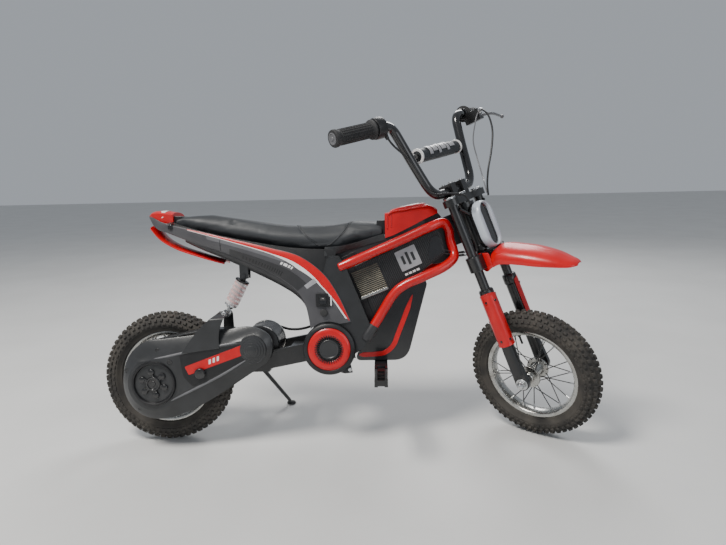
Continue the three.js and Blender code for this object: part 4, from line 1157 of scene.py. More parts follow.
def make_controls():
    """Power rocker, charge socket cap and their sunk plate on the right side panel."""
    plate = prism(rounded([(372, 331), (404, 331), (400, 362), (372, 362)], 3), -79, -82.2)
    piece("control_plate", "chassis", BLACK, plate, bevel=0.5)
    bezel = prism(rounded([(379, 336.5), (397, 336.5), (397, 355.5), (379, 355.5)], 1.5), -81.5, -84)
    piece("rocker_bezel", "chassis", GLOSS_BLACK, bezel, bevel=0.4)

    def rocker(s, t, r):
        return 381.5 + 13 * s, -81.4 - (3.6 + 1.6 * abs(2 * t - 1)) * r, 338.6 + 14.8 * t

    piece(
        "rocker", BODY_OF["power_switch"], GLOSS_BLACK, grid(rocker, 6, 12), replaces=("power_switch",),
        bevel=0.5
    )
    dots = merged(
        box((386.4, -86.4, 350), (387.2, -86.2, 352.4)), box((389, -86.4, 350), (389.8, -86.2, 352.4))
    )
    piece("rocker_marks", BODY_OF["power_switch"], WHITE, dots)
    cap = turned([(0, -81.2), (8, -81.2), (8.4, -82), (8.4, -84.6), (7.4, -86), (4, -86.4), (0, -86.2)], 40)
    cap = moved(cap, at(390, 0, 318))
    piece("socket_cap", BODY_OF["charge_cap"], GRIP, cap, replaces=("charge_cap",), bevel=0.3)
    mark = prism(rounded([(405, 334), (408, 334), (408, 356), (405, 356)], 1.2), -80.5, -82.6)
    piece("control_mark", "chassis", WHITE, mark)


# ------------------------------------------------------------------ battery cover and belly

LOOP_SLOPE = atan2(82, 190)
LOOP_ALONG = Vector((cos(LOOP_SLOPE), sin(LOOP_SLOPE)))
LOOP_DOWN = Vector((sin(LOOP_SLOPE), -cos(LOOP_SLOPE)))
COVER_EDGE = [
    (458, 420), (560, 464), (648, 502), (658, 490), (668, 448), (612, 404), (562, 380), (537, 352),
    (504, 296)
]
MESH_WINDOW = [(451, 405), (511, 428), (535, 371), (475, 348)]


def slanted(middle, half_along, half_down):
    """Corners of a panel set square to the loop's slope."""
    middle = Vector(middle)
    corners = ((-1, 1), (1, 1), (1, -1), (-1, -1))
    return [(middle + LOOP_ALONG * (a * half_along) + LOOP_DOWN * (d * half_down))[:] for a, d in corners]


def cover_ribs(side):
    """Ribs across the loop's slope, each as long as the cover is there."""
    half = LOOP_ALONG * 0.95
    ribs = []
    for i in range(50):
        start = Vector((470, 404)) + LOOP_ALONG * (4.4 * i)
        reaches = crossings(start, LOOP_DOWN, COVER_EDGE)
        if len(reaches) < 2 or max(reaches) - min(reaches) < 12:
            continue
        a, b = start + LOOP_DOWN * (min(reaches) + 3), start + LOOP_DOWN * (max(reaches) - 3)
        outline = [(a - half)[:], (a + half)[:], (b + half)[:], (b - half)[:]]
        ribs.append(prism(outline, side * 45.6, side * 47.6))
    return merged(*ribs)


def make_battery_side(label, side):
    body = "chassis"
    if side > 0:
        dressed_node("battery_housing", BLACK, bevel=1.6, segments=3)
    piece(f"cover_ribs_{label}", body, PANEL_DARK, cover_ribs(side), bevel=0.35, segments=1)
    badge = rounded(slanted((583, 437), 25, 24), 2)
    piece(f"cover_badge_{label}", body, LABEL_GREY, prism(badge, side * 47.4, side * 48.4), bevel=0.3)
    marks = []
    for shift, size in ((-12, 10), (0, 15), (12, 10)):
        bar = slanted((583 + LOOP_ALONG.x * shift, 437 + LOOP_ALONG.y * shift), 3.2, size)
        marks.append(prism(bar, side * 48.3, side * 48.8))
    piece(f"cover_badge_bars_{label}", body, CHARCOAL, merged(*marks))
    strips = []
    for i in range(4):
        middle = Vector((592, 405)) + LOOP_ALONG * (9.6 * i - 14)
        strips.append(prism(slanted(middle, 3.6, 2.4), side * 47.4, side * 48.6))
    piece(f"cover_strip_{label}", body, WHITE, merged(*strips), bevel=0.2)
    mesh = prism(MESH_WINDOW, side * COVER_Y, side * 48.6)
    piece(f"window_mesh_{label}", body, PANEL_DARK, mesh)
    lines = []
    up_a, up_b, low_b, low_a = [Vector(corner) for corner in MESH_WINDOW]
    for i in range(14):
        f = (i + 0.5) / 14
        a, b = up_a.lerp(low_a, f), up_b.lerp(low_b, f)
        lines.append(rod((a.x, side * 48.7, a.y), (b.x, side * 48.7, b.y), 1.15, 8))
    piece(f"window_wires_{label}", body, MESH_BRASS, merged(*lines))
    bar = prism(rounded([(472, 348), (535, 372), (537, 366), (474, 342)], 2), side * COVER_Y, side * 51)
    piece(f"window_bar_{label}", body, ALLOY, bar, bevel=0.8)
    recess = rounded([(634, 482), (646, 488), (656, 482), (663, 450), (636, 431), (628, 436)], 5)
    piece(f"cover_recess_{label}", body, GLOSS_BLACK, prism(recess, side * 45, side * 48.2), bevel=0.6)
    make_wires(label, side)


def make_wires(label, side):
    """Two thin leads from the cover's recess to the head tube."""
    for k, drop in enumerate((0, 7)):
        places = ((650, COVER_Y, 455), (672, 40, 453), (700, 30, 446), (722, 21, 448))
        path = [(x, side * y, z - drop) for x, y, z in places]
        piece(f"head_wire_{label}_{k}", "chassis", BLACK, swept(route(path, 24), 1.5, 8), angle=60)


def make_belly_trim(label, side):
    """Red strip that tapers at both ends, following the belly cover's front and underside."""
    if side > 0:
        dressed_node("belly_cover", GLOSS_BLACK, bevel=3.4, segments=4, angle=30)
    corners = [(592, 352), (576, 308), (558, 262), (546, 234), (526, 217.5), (500, 213.5), (466, 212.5)]
    steps = 60
    centre = route([(x, 0, z) for x, z in corners], steps)
    rings = []
    for i, point in enumerate(centre):
        f = i / steps
        ahead = centre[min(i + 1, steps)] - centre[max(i - 1, 0)]
        across = Vector((-ahead.z, 0, ahead.x)).normalized()
        width = 5.6 * min(1, 0.15 + f * 7) * min(1, 0.25 + (1 - f) * 12)
        a, b = point + across * width, point - across * width
        rings.append([(end.x, side * y, end.z) for end, y in ((a, 44), (a, 46.4), (b, 46.4), (b, 44))])
    piece(f"belly_trim_{label}", "chassis", RED, loft(rings), bevel=0.6)


# ------------------------------------------------------------------ tank, tail and mudguard


def make_tank():
    body = "chassis"
    rows = [
        (531, 540, 484, 46, 38), (552, 544, 491, 47, 38), (592, 552, 510, 45, 34), (626, 559, 527, 39, 28),
        (653, 549, 539, 29, 20)
    ]

    def place(s, t, r):
        x, top, bottom, wide, narrow = smooth_value(rows, s)
        across = 2 * t - 1
        side = abs(across)
        wall = 3.2 * (1 - r)
        climb = 1 if side < 0.6 else 1 - (side - 0.6) / 0.4
        half = narrow * side / 0.6 if side < 0.6 else narrow + (wide - narrow) * (1 - climb)
        edge = 1.4 * max(0, 1 - abs(side - 0.6) / 0.12)
        half = max(half - wall - edge * 0.6, 0)
        z = bottom + (top - wall - bottom) * climb + 2 * (1 - side * side) - edge
        return x, copysign(half, across), z

    piece("tank_shell", body, RED, grid(place, 36, 50), replaces=("tank_cover",), angle=45)
    lid_rows = [(544, 549, 29), (560, 554, 31), (590, 560, 29), (618, 564.5, 25), (628, 563, 20)]

    def lid(s, t, r):
        x, top, half = smooth_value(lid_rows, s)
        across = 2 * t - 1
        return x, half * across, top - 8 * (1 - r) - 2.2 * across ** 4

    piece("tank_lid", body, RED, grid(lid, 24, 16), bevel=1.4, segments=3)

    def patch(s, t, r):
        across = 2 * t - 1
        top = smooth_value(lid_rows, 0.3 + 0.4 * s)[1]
        return 566 + 44 * s, across * (30.4 - 5 * s), top + 0.9 * r - 0.4 - 5 * abs(across) ** 6

    piece("tank_patch", body, WHITE, grid(patch, 10, 10), bevel=0.3)
    top_line = [(538, 541), (548, 547), (574, 551), (604, 556), (628, 559)]
    for label, side in SIDES:
        welt = route([(x, side * (39.5 - 0.11 * max(0, x - 560)), z - 3.5) for x, z in top_line], 30)
        piece(f"tank_ridge_{label}", body, RED, swept(welt, 2.0, 10), angle=60)
    steps = []
    for side in (-1, 1):
        for i in range(2):
            a = (536 + 9 * i, side * (44.5 - 0.4 * i), 506 + 3 * i)
            b = (536 + 9 * i, side * (40.5 - 0.4 * i), 534 + 1.5 * i)
            steps.append(rod(a, b, 1.9, 12))
    piece("tank_steps", body, RED, merged(*steps), angle=60)


def make_tail():
    body = "chassis"
    rows = [(-28, 551, 545, 18), (-16, 557, 536, 30), (6, 558, 527, 37), (36, 554, 530, 39)]
    side_rows = [(-27, 546, 541, 20), (-12, 541, 521, 33), (8, 531, 509, 41), (30, 524, 504, 44.5)]
    guard_rows = [(-20, 524), (2, 498), (38, 476), (84, 459), (150, 438)]

    def droop(across):
        return 5 * across * across, 2.2 * abs(across) ** 7

    def shell(s, t, r):
        x, top, bottom, half = smooth_value(rows, s)
        across = 2 * t - 1
        edge, rim = droop(across)
        soft = 1 - 0.10 * (1 - r)
        return x, half * across * soft, bottom + (top - bottom) * r - (edge + rim) * r

    def patch(s, t, r):
        x = -13 + 30 * s
        _, top, _, half = smooth_value(rows, (x + 28) / 64)
        across = (2 * t - 1) * 0.93
        edge, rim = droop(across)
        return x, half * across, top - edge - rim + 0.7 * r - 0.3

    def guard(s, t, r):
        x, z = smooth_value(guard_rows, s)
        across = 2 * t - 1
        return x, 34 * across * (1 - 0.25 * max(0, s - 0.85) / 0.15), z - 6 * across * across - 4 * (1 - r)

    piece("tail_shell", body, RED, grid(shell, 20, 24), replaces=("tail_cap",), bevel=1.2, segments=3)
    piece("tail_patch", body, WHITE, grid(patch, 8, 24), bevel=0.2)
    for label, side in SIDES:

        def flank(s, t, r):
            half = smooth_value(rows, (s * 27 + 14) / 64)[3]
            return -14 + 27 * s, side * (half + 1.0 * r - 0.6 - 0.6 * t), 538.5 + 9 * t + 2 * s

        piece(f"tail_flank_{label}", body, WHITE, grid(flank, 8, 4))
    for label, side in SIDES:

        def cheek(s, t, r):
            x, top, bottom, half = smooth_value(side_rows, s)
            return x, side * (half - 3 * (1 - r) - 1.5 * (2 * t - 1) ** 2), bottom + (top - bottom) * t

        piece(f"tail_cheek_{label}", body, PANEL_GREY, grid(cheek, 12, 8), bevel=0.8)
    piece("mudguard_shell", body, RED, grid(guard, 40, 16), replaces=("rear_mudguard",), bevel=0.9)


# ------------------------------------------------------------------ seat and pad


def puffed(shape, name, base, voxel, cap, pressure=4.0):
    """Swells a closed shape by cloth simulation and returns its mesh; no point moves further than the cap."""
    points, faces = shape
    mesh = bpy.data.meshes.new(name)
    mesh.from_pydata([base @ Vector(p) for p in points], [], faces)
    face_outward(mesh)
    thing = bpy.data.objects.new(name, mesh)
    bpy.context.scene.collection.objects.link(thing)
    remesh = thing.modifiers.new("even", "REMESH")
    remesh.mode = "VOXEL"
    remesh.voxel_size = voxel / 1000
    apply_modifiers(thing)
    rest = [v.co.copy() for v in thing.data.vertices]
    cloth = thing.modifiers.new("cloth", "CLOTH")
    settings = cloth.settings
    settings.use_pressure = True
    settings.uniform_pressure_force = pressure
    settings.effector_weights.gravity = 0
    settings.quality = 5
    settings.tension_stiffness = settings.compression_stiffness = 25
    scene = bpy.context.scene
    for step in range(CLOTH_STEPS):
        scene.frame_set(step + 1)
    apply_modifiers(thing)
    scene.frame_set(1)
    for vertex, start in zip(thing.data.vertices, rest):
        shift = vertex.co - start
        if shift.length > cap / 1000:
            vertex.co = start + shift.normalized() * (cap / 1000)
    finer = thing.modifiers.new("finer", "SUBSURF")
    finer.levels = finer.render_levels = 1
    apply_modifiers(thing)
    mesh = thing.data.copy()
    bpy.data.objects.remove(thing)
    return mesh


def apply_modifiers(thing):
    shown = thing.evaluated_get(bpy.context.evaluated_depsgraph_get())
    made = bpy.data.meshes.new_from_object(shown)
    thing.modifiers.clear()
    thing.data = made


def pressed(mesh, lines, width, depth):
    """Presses sewn channels into a soft mesh along lines of points on the bike."""
    seams = [[BIKE @ Vector(p) for p in line] for line in lines]
    for vertex in mesh.vertices:
        nearest = 1.0
        for line in seams:
            for a, b in zip(line, line[1:]):
                edge = b - a
                t = min(max((vertex.co - a).dot(edge) / max(edge.length_squared, 1e-12), 0), 1)
                nearest = min(nearest, (vertex.co - (a + edge * t)).length)
        if nearest < width / 1000:
            share = 1 - (nearest * 1000 / width) ** 2
            vertex.co -= vertex.normal * (depth / 1000 * share * share)


def seam_on(mesh, line, name, body, finish, radius=0.8, dashes=0):
    """A raised welt or a row of stitches that follows the surface under a line."""
    tree = BVHTree.FromPolygons([v.co for v in mesh.vertices], [p.vertices for p in mesh.polygons])
    on = []
    for point in line:
        spot, normal, _, _ = tree.find_nearest(BIKE @ Vector(point))
        on.append(spot + normal * (radius * 0.25 / 1000))
    inverse = BIKE.inverted()
    path = [inverse @ p for p in on]
    if not dashes:
        return piece(name, body, finish, swept(path, radius, 8), angle=60)
    stitches = []
    for i in range(0, len(path) - dashes, dashes + 1):
        stitches.append(swept(path[i:i + dashes + 1], radius, 6))
    return piece(name, body, finish, merged(*stitches), angle=60)


SEAT_ROWS = [
    (38, 549, 523, 39), (95, 546, 506, 50), (160, 536, 490, 57), (225, 526, 477, 61),
    (308, 514, 463, 64), (402, 513, 457, 60), (461, 522, 469, 52), (510, 530, 483, 44), (527, 527, 488, 41),
]


def seat_ring(fraction, inset=0.0, n=40):
    x, top, bottom, half = smooth_value(SEAT_ROWS, fraction)
    top, bottom, half = top - inset, bottom + inset, half - inset
    ring = []
    for i in range(n):
        angle = tau * i / n
        c, s = cos(angle), sin(angle)
        y = half * copysign(abs(c) ** 0.62, c)
        if s >= 0:
            z = bottom + (top - bottom) * (0.36 + 0.64 * s ** 0.85)
        else:
            z = bottom + (top - bottom) * 0.36 * (1 - abs(s) ** 0.6)
            y *= 1 - 0.1 * abs(s)
        ring.append((x, y, z))
    return ring


def across_seat(x_middle, x_side, spread, n=40):
    """Line over the seat's top from one side to the other, swept back towards its sides."""
    line = []
    for i in range(n + 1):
        across = 2 * i / n - 1
        x = x_middle + (x_side - x_middle) * abs(across) ** spread
        f = seat_fraction(x)
        _, top, bottom, half = smooth_value(SEAT_ROWS, f)
        angle = pi * (0.5 - across * 0.62)
        y = half * cos(angle) * 1.02
        z = bottom + (top - bottom) * (0.36 + 0.64 * max(sin(angle), -0.3))
        line.append((x, y, z))
    return line


def seat_fraction(x):
    low, high = 0.0, 1.0
    for _ in range(24):
        middle = (low + high) / 2
        if smooth_value(SEAT_ROWS, middle)[0] < x:
            low = middle
        else:
            high = middle
    return (low + high) / 2


def make_seat():
    rings = [seat_ring(i / 28, 3.0) for i in range(29)]
    mesh = puffed(loft(rings), "seat_start", BIKE, 5.5, 6.5)
    welts = {"nose": across_seat(452, 398, 1.5), "wing": across_seat(322, 382, 1.4)}
    stitches = {"nose": across_seat(457, 403, 1.5), "wing": across_seat(326, 387, 1.4)}
    pressed(mesh, list(welts.values()), 5.0, 1.3)
    seat = dress(mesh, "seat_cushion", "chassis", VINYL, ("seat",), angle=180)
    for name, line in stitches.items():
        seam_on(
            seat.data, route(line, 160), f"seat_{name}_stitches", "chassis", THREAD, radius=0.55, dashes=2
        )
    for name, line in welts.items():
        seam_on(seat.data, route(line, 90), f"seat_{name}_welt", "chassis", VINYL, radius=1.0)
    tabs = merged(box((512, -33, 492), (535, 33, 525)), box((30, -30, 528), (54, 30, 544)))
    piece("seat_end_tabs", "chassis", BLACK, tabs, bevel=2.0, segments=3)
    skirt = []
    for i in range(29):
        x, _, bottom, half = smooth_value(SEAT_ROWS, i / 28)
        skirt.append([(x, y * (half - 5), bottom + z) for y, z in ((-1, -1.5), (1, -1.5), (1, 4), (-1, 4))])
    piece("seat_base", "chassis", BLACK, loft(skirt), bevel=0.8)


def make_pad():
    body = BODY_OF["crossbar_pad"]
    middle_x = BAR_SET_BACK - 4
    half = [(0, 16.6), (40, 16.4), (80, 16), (86, 15), (88, 12.5)]
    outline = [(-y, radius) for y, radius in reversed(half[1:])] + half
    rings = [
        [(middle_x + x, y, CROSSBAR_HEIGHT + z) for x, z in circle(radius, 32)] for y, radius in outline
    ]
    mesh = puffed(loft(rings), "pad_start", FORK, 4.5, 2.0)
    pad = dress(mesh, "bar_pad", body, VINYL, ("crossbar_pad",), angle=180)

    def block(y0, y1, start, end):
        def place(s, t, r):
            x, z = polar(17.6 + 0.8 * r, start + (end - start) * t)
            return middle_x + x, y0 + (y1 - y0) * s, CROSSBAR_HEIGHT + z

        return grid(place, 6, 16)

    blocks = [block(-58, -46, -0.3, 1.3), block(-42, -24, 0.0, 1.0), block(-20, -10, -0.4, 1.3)]
    blocks += [block(-6, 14, 0.0, 1.1), block(18, 28, -0.3, 1.3), block(32, 54, 0.1, 0.9)]
    piece("pad_blocks", body, LABEL_GREY, merged(*blocks), FORK, bevel=0.2)
    ends = []
    for y in (-88.6, 84.4):
        profile = [
            (12, y), (16.9, y), (17.3, y + 0.8), (17.3, y + 3.4), (16.9, y + 4.2), (12, y + 4.2), (12, y)
        ]
        ends.append(moved(turned(profile, 48), at(middle_x, 0, CROSSBAR_HEIGHT)))
    piece("pad_end_rings", body, WHITE, merged(*ends), FORK, bevel=0.3)


# ------------------------------------------------------------------ steering and fork


def on_grip(shape, side):
    """Places a shape made about Y, counted outward from the grip's inner point."""
    inner = Vector((GRIP_INNER.x, side * GRIP_INNER.y, GRIP_INNER.z))
    outer = Vector((GRIP_OUTER.x, side * GRIP_OUTER.y, GRIP_OUTER.z))
    turn = Vector((0, 1, 0)).rotation_difference((outer - inner).normalized()).to_matrix().to_4x4()
    return moved(shape, Matrix.Translation(inner) @ turn)


def make_grip(name, node, side):
    body = BODY_OF[node]
    profile = [(12.2, 26), (20, 26), (21, 27), (21, 30), (19.6, 31.4), (16, 33)]
    y = 36
    while y < 114:
        profile += [(15.4, y), (16.3, y + 0.7), (16.3, y + 2.5), (15.4, y + 3.2)]
        y += 4.2
    profile += [(16.6, 118), (18.2, 122), (18.4, 127), (17.2, 129.6), (14, 130.4), (0, 130.6)]
    piece(name, body, GRIP, on_grip(turned(profile, 48), side), FORK, (node,), angle=32)
    cap = turned(
        [
            (0, 129), (12.6, 129), (12.6, 131), (10.6, 131.6), (9.4, 130.9), (4, 130.9), (3.4, 131.8),
            (0, 131.8)
        ],
        40
    )
    piece(name + "_end", body, PANEL_MID, on_grip(cap, side), FORK)
    ribs = [rod((x, 36, z), (x, 114, z), 0.9, 6) for x, z in circle(16.0, 20)]
    piece(name + "_ribs", body, GRIP, on_grip(merged(*ribs), side), FORK)


def make_bar():
    body = BODY_OF["handlebar"]
    half = [
        (BAR_SET_BACK, 50, BAR_HEIGHT), (-11, 76, 478), (-12, 95, 496), (-13, 106, 528),
        (-14, CROSSBAR_REACH, CROSSBAR_HEIGHT), (-14, 129, 614), (-14, 136, 636), (-14, 148, 648),
        tuple(GRIP_INNER), (-30, 230, 653.5), tuple(GRIP_OUTER),
    ]
    points = [(x, -y, z) for x, y, z in reversed(half)] + [(BAR_SET_BACK, 0, BAR_HEIGHT)] + half
    bar = merged(
        swept(route(points, 220), 11, 28),
        rod((-14, -CROSSBAR_REACH, CROSSBAR_HEIGHT), (-14, CROSSBAR_REACH, CROSSBAR_HEIGHT), 7, 24),
    )
    piece("bar_tube", body, GLOSS_BLACK, bar, FORK, ("handlebar",), angle=60)
    knurls = []
    for x, z in circle(10.9, 26):
        x, z = BAR_SET_BACK + x, BAR_HEIGHT + z
        knurls.append(rod((x, -40, z), (x, 40, z), 0.5, 5))
    piece("bar_knurl", body, GLOSS_BLACK, merged(*knurls), FORK)
    make_grip("grip_sleeve_left", "left_grip", 1)
    make_grip("grip_sleeve_right", "throttle_grip", -1)
    housing = turned(
        [(12.2, 0), (20, 0), (22.4, 1.6), (23, 4), (23, 20), (22, 23.4), (20.6, 24), (12.2, 24), (12.2, 0)],
        48
    )
    piece("throttle_shell", body, BLACK, on_grip(housing, -1), FORK, ("throttle_housing",), bevel=0.4)
    boss = swept([(-15, -168, 636), (-15, -167, 630), (-14.5, -166.4, 624)], lambda f: 5.4 - 1.6 * f, 20)
    piece("throttle_boss", body, BLACK, boss, FORK, bevel=0.4)
    dressed_node("upper_clamp", STEEL_BLACK, bevel=1.4, segments=3)
    dressed_node("steering_stem", STEEL_BLACK, bevel=1.4, segments=3)
    socket_head = [(0, 0), (4.4, 0), (4.8, -0.6), (4.8, -4), (2.4, -4.2), (2.2, -2), (0, -2)]
    tube_cap = [(0, 0), (12.4, 0), (13, -1), (13, -4.4), (11, -5.4), (6, -5.4), (5, -4), (0, -4)]
    stem_nut = [(0, 0), (14, 0), (14.5, -0.8), (14.5, -5), (13, -6), (0, -6)]
    caps = []
    for side in (-1, 1):
        caps += [hung(socket_head, 24, x, side * 24, BAR_HEIGHT + 16.5) for x in (-20, 0)]
        caps.append(hung(tube_cap, 36, FORK_OFFSET - 2, side * LEG_SPACING, 455.4))
    caps.append(hung(stem_nut, 6, 0, 0, 458))
    piece("clamp_bolts", body, ZINC, merged(*caps), FORK, bevel=0.3)
    make_controls_left()


def make_controls_left():
    """Lever perch, lever with its ball end, and the two control cables."""
    body = BODY_OF["brake_perch"]
    dressed_node("brake_perch", STEEL_BLACK, bevel=1.0, segments=3)
    adjuster = swept(
        [(32, 179, 637.5), (36, 177, 638.5), (40, 175, 638.8), (45, 171, 637)], lambda f: 6.8 - 3.4 * f, 20
    )
    piece("cable_adjuster", body, ZINC, adjuster, FORK, bevel=0.4)
    lever_path = route([(24, 186, 627), (36, 208, 626), (38, 236, 623), (33, 270, 618), (27, 302, 614)], 60)
    blade = swept(lever_path, lambda f: 4.4 - 1.5 * f, 16, flat=0.62)
    ball = [(0, -5.4), (2.6, -4.7), (4.6, -2.8), (5.4, 0), (4.6, 2.8), (2.6, 4.7), (0, 5.4)]
    tip = moved(turned(ball, 24), at(27, 303, 614))
    hub = hung([(0, -2.6), (5.6, -2.6), (5.6, 2.6), (0, 2.6)], 24, 24, 186, 627)
    piece(
        "lever_blade", BODY_OF["brake_lever"], PANEL_MID, merged(blade, tip, hub), FORK, ("brake_lever",),
        angle=50
    )
    cable = [
        (34, 180, 640), (47, 169, 635), (66, 148, 612), (76, 118, 572), (70, 88, 528), (58, 64, 490),
        (48, 52, 458), (43, 46, 432)
    ]
    lead = [
        (-14, -166, 625), (-12, -158, 606), (2, -144, 566), (6, -134, 524), (4, -118, 484), (22, -72, 468),
        (40, -48, 452), (42, -44, 430)
    ]
    steering = BODY_OF["brake_cable"]
    piece(
        "brake_cable_sheath", steering, BLACK, swept(route(cable, 90), 2.3, 12), FORK, ("brake_cable",),
        angle=60
    )
    piece(
        "throttle_lead_sheath", steering, BLACK, swept(route(lead, 90), 2.3, 12), FORK, ("throttle_lead",),
        angle=60
    )
    switch_lead = [
        (30, 172, 634), (22, 158, 614), (6, 144, 574), (4, 134, 530), (14, 108, 486), (34, 66, 462),
        (42, 46, 440)
    ]
    piece("switch_lead", steering, PANEL_MID, swept(route(switch_lead, 80), 1.6, 10), FORK, angle=60)


def make_headlight():
    body = BODY_OF["headlight"]

    def loop(radius, x, reach=22):
        return [
            (x, y, z) for y,
            z in belt_outline((0, 372.5 - reach), radius, (0, 372.5 + reach), radius * 0.9999, 20)
        ]

    ring = [
        loop(34.4, 30), loop(35, 34), loop(34.6, 42), loop(32.6, 46.5), loop(28, 48.4, 25), loop(22, 48, 30)
    ]
    ring += [loop(19, 46.4, 32), loop(17.8, 44, 33), loop(17.4, 34, 33)]
    piece("lamp_ring", body, LENS, loft(ring), FORK, ("headlight",), angle=30)
    slot_rings = [loop(17.7, 36, 33), loop(17.7, 42.6, 33), loop(14.5, 43.4, 33), loop(13, 41, 33)]
    piece("lamp_slot", body, GLOSS_BLACK, loft(slot_rings), FORK, angle=30)
    back = [loop(33, 31), loop(33, 24), loop(30, 20), loop(22, 18)]
    piece("lamp_back", body, BLACK, loft(back), FORK, angle=30)
    ears = merged(rod((20, -60, 428), (24, -20, 400), 4, 12), rod((20, 60, 428), (24, 20, 400), 4, 12))
    piece("lamp_stays", body, STEEL_BLACK, ears, FORK, angle=60)


def make_fender():
    rows = [
        (37, 311, 277, 46), (62, 316, 279, 48), (98, 303, 268, 49), (132, 288, 254, 47),
        (168, 266, 240, 40), (192, 246, 230, 29), (203, 237, 227, 21), (208, 231, 226, 12)
    ]

    def place(s, t, r):
        x, crown_z, skirt, half = smooth_value(rows, s)
        angle = (t - 0.5) * pi
        wall = 2.6 * (1 - r)
        drop = 1 - max(cos(angle), 0) ** 0.7
        ridge = 1.6 * exp(-((t - 0.5) / 0.05) ** 2) * (1 - s)
        return x, (half - wall) * sin(angle), crown_z - wall + ridge - (crown_z - skirt - wall) * drop

    body = BODY_OF["front_fender"]
    piece("fender_shell", body, RED, grid(place, 48, 40), FORK, ("front_fender",), angle=40)
    root = rounded([(14, 318), (40, 312), (40, 279), (20, 270), (10, 282)], 5)
    sides = merged(prism(root, -47, -43), prism(root, 43, 47))
    piece("fender_root", body, RED, sides, FORK, bevel=0.8)
    tie = merged(rod((30, -20, 306), (30, 20, 306), 5, 16), box((16, -20, 298), (38, 20, 303)))
    piece("fender_bracket", body, STEEL_BLACK, tie, FORK, bevel=0.6)


def make_fork():
    for label, side in SIDES:
        x, y = FORK_OFFSET - 2, side * LEG_SPACING
        lower = BODY_OF[f"fork_leg_{label}"]
        dressed_node(f"fork_tube_{label}", STEEL_BLACK, bevel=0.4)
        leg = [
            (11.3, -22), (14, -22), (15, -23), (15, -210), (16.2, -212), (17, -214), (17, -232),
            (15.6, -235.4), (11.4, -236), (11.3, -22)
        ]
        sleeve = hung(leg, 48, x, y, 0)
        lug = prism(belt_outline((FORK_OFFSET, 0), 16, (x, 60), 14, 16), y - 6, y + 6)
        piece(
            f"leg_sleeve_{label}", lower, STEEL_BLACK, merged(sleeve, lug), FORK, (f"fork_leg_{label}",),
            bevel=0.7
        )
        make_guard(label, side, x, lower)
        pinch = turned([(0, 0), (5.2, 0), (5.4, 0.6), (5.4, 3.4), (3, 3.6), (2.6, 1.8), (0, 1.8)], 6)
        pinch = sided(moved(pinch, at(x, LEG_SPACING + 6, 44)), side)
        piece(f"leg_bolt_{label}", lower, ZINC, pinch, FORK, bevel=0.3)


def make_guard(label, side, x, body):
    """Wrap-round fork guard with a rolled rim and a band near its foot."""

    def place(s, t, r):
        angle = -0.62 + 3.4 * s
        flare = 0.8 * (1 - min(1, min(t, 1 - t) * 30)) + 0.5 * (1 - min(1, min(s, 1 - s) * 14))
        radius = LEG_RADIUS + 0.7 + (2.6 + flare) * r
        top = 228 - 7 * (abs(2 * s - 1) ** 2)
        z = 98 + (top - 98) * t
        return x + radius * cos(angle), side * (LEG_SPACING + radius * sin(angle)), z

    piece(f"guard_shell_{label}", body, RED, grid(place, 32, 48), FORK, (f"fork_guard_{label}",), bevel=0.3)
    screws = []
    for z in (112, 208):
        for angle in (0.35, 1.57):
            out = Vector((cos(angle), side * sin(angle), 0))
            start = Vector((x, side * LEG_SPACING, z)) + out * 17
            screws.append(rod(start, start + out * 2.6, 2.8, 12))
    piece(f"guard_screws_{label}", body, GLOSS_BLACK, merged(*screws), FORK, bevel=0.3)


# ------------------------------------------------------------------ camera, light and floor


CAMERA_YAW = -0.034
CAMERA_PITCH = 0.0725
CAMERA_ROLL = 0.0187
CAMERA_PLACE = Vector((521.2, -1299.1, 496.3))
CAMERA_LENS = 26.97
SENSOR_WIDTH = 36
SKY_COLOUR = (0.86, 0.92, 1.0, 1)
SKY_STRENGTH = 0.42
FLOOR_REACH = 14
LAMPS = [  # name, place, target, size, power, colour
    ("key", (-1.3, -1.3, 3.0), (0, 0, 0.3), 1.0, 130, (1.0, 0.97, 0.92)),
    ("fill", (2.2, -2.6, 1.5), (0, 0, 0.35), 2.2, 22, (0.93, 0.96, 1.0)),
    ("rim", (0.6, 2.4, 2.4), (0, 0, 0.4), 1.6, 50, (1.0, 1.0, 1.0)),
]


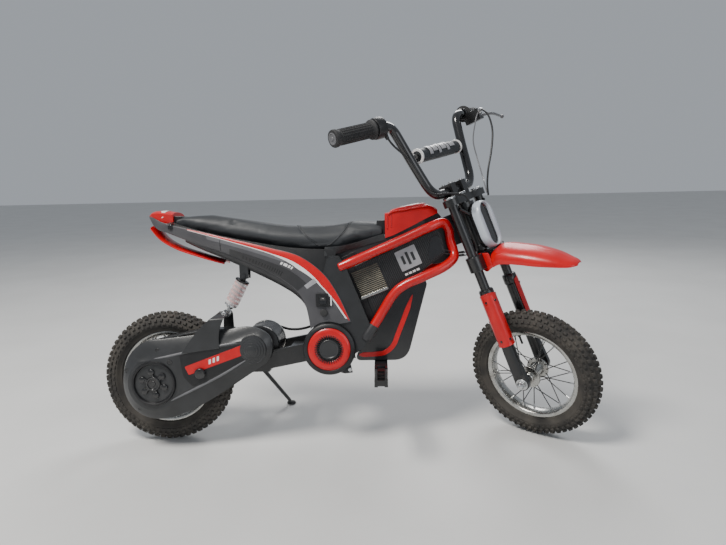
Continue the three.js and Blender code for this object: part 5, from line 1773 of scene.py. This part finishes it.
def make_camera():
    """Camera at the photograph's viewing angle, its pose counted from the upright bike."""
    flat = cos(CAMERA_PITCH)
    forward = Vector((sin(CAMERA_YAW) * flat, cos(CAMERA_YAW) * flat, -sin(CAMERA_PITCH)))
    level = Vector((cos(CAMERA_YAW), -sin(CAMERA_YAW), 0))
    down = forward.cross(level)
    right = level * cos(CAMERA_ROLL) + down * sin(CAMERA_ROLL)
    lower = -level * sin(CAMERA_ROLL) + down * cos(CAMERA_ROLL)
    data = bpy.data.cameras.new("camera")
    data.sensor_width = SENSOR_WIDTH
    data.lens = CAMERA_LENS
    data.clip_start, data.clip_end = 0.05, 50
    camera = bpy.data.objects.new("camera", data)
    bpy.context.scene.collection.objects.link(camera)
    camera.matrix_world = LEANING @ axes_matrix(right, -lower, -forward, Vector((0, 0, 0)))
    camera.location = BIKE @ CAMERA_PLACE
    bpy.context.scene.camera = camera


def make_studio():
    """Soft lights, a pale sky and a pale floor."""
    make_camera()
    world = bpy.data.worlds.new("studio")
    bpy.context.scene.world = world
    world.use_nodes = True
    sky = world.node_tree.nodes["Background"].inputs
    sky["Color"].default_value = SKY_COLOUR
    sky["Strength"].default_value = SKY_STRENGTH
    for row in LAMPS:
        make_lamp(*row)
    floor = bpy.data.meshes.new("floor")
    floor.from_pydata(rectangle(0, 0, 0, FLOOR_REACH, FLOOR_REACH), [], [(0, 1, 2, 3)])
    floor.materials.append(FLOOR)
    ground = bpy.data.objects.new("floor", floor)
    bpy.context.scene.collection.objects.link(ground)
    ground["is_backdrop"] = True


def make_lamp(name, place, target, size, power, colour):
    data = bpy.data.lights.new(name, "AREA")
    data.shape = "DISK"
    data.size = size
    data.energy = power
    data.color = colour
    light = bpy.data.objects.new(name, data)
    light.location = place
    light.rotation_euler = (Vector(target) - Vector(place)).to_track_quat("-Z", "Y").to_euler()
    bpy.context.scene.collection.objects.link(light)


make_studio()
make_wheels()
make_case()
make_swingarm()
make_shock()
make_frame()
make_infill()
make_tank()
make_tail()
make_seat()
make_bar()
make_pad()
make_headlight()
make_fender()
make_fork()

sizes = {"cad": CAD_BOX, "visual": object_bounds()}
{name: [list(corner) for corner in box_of] for name, box_of in sizes.items()}
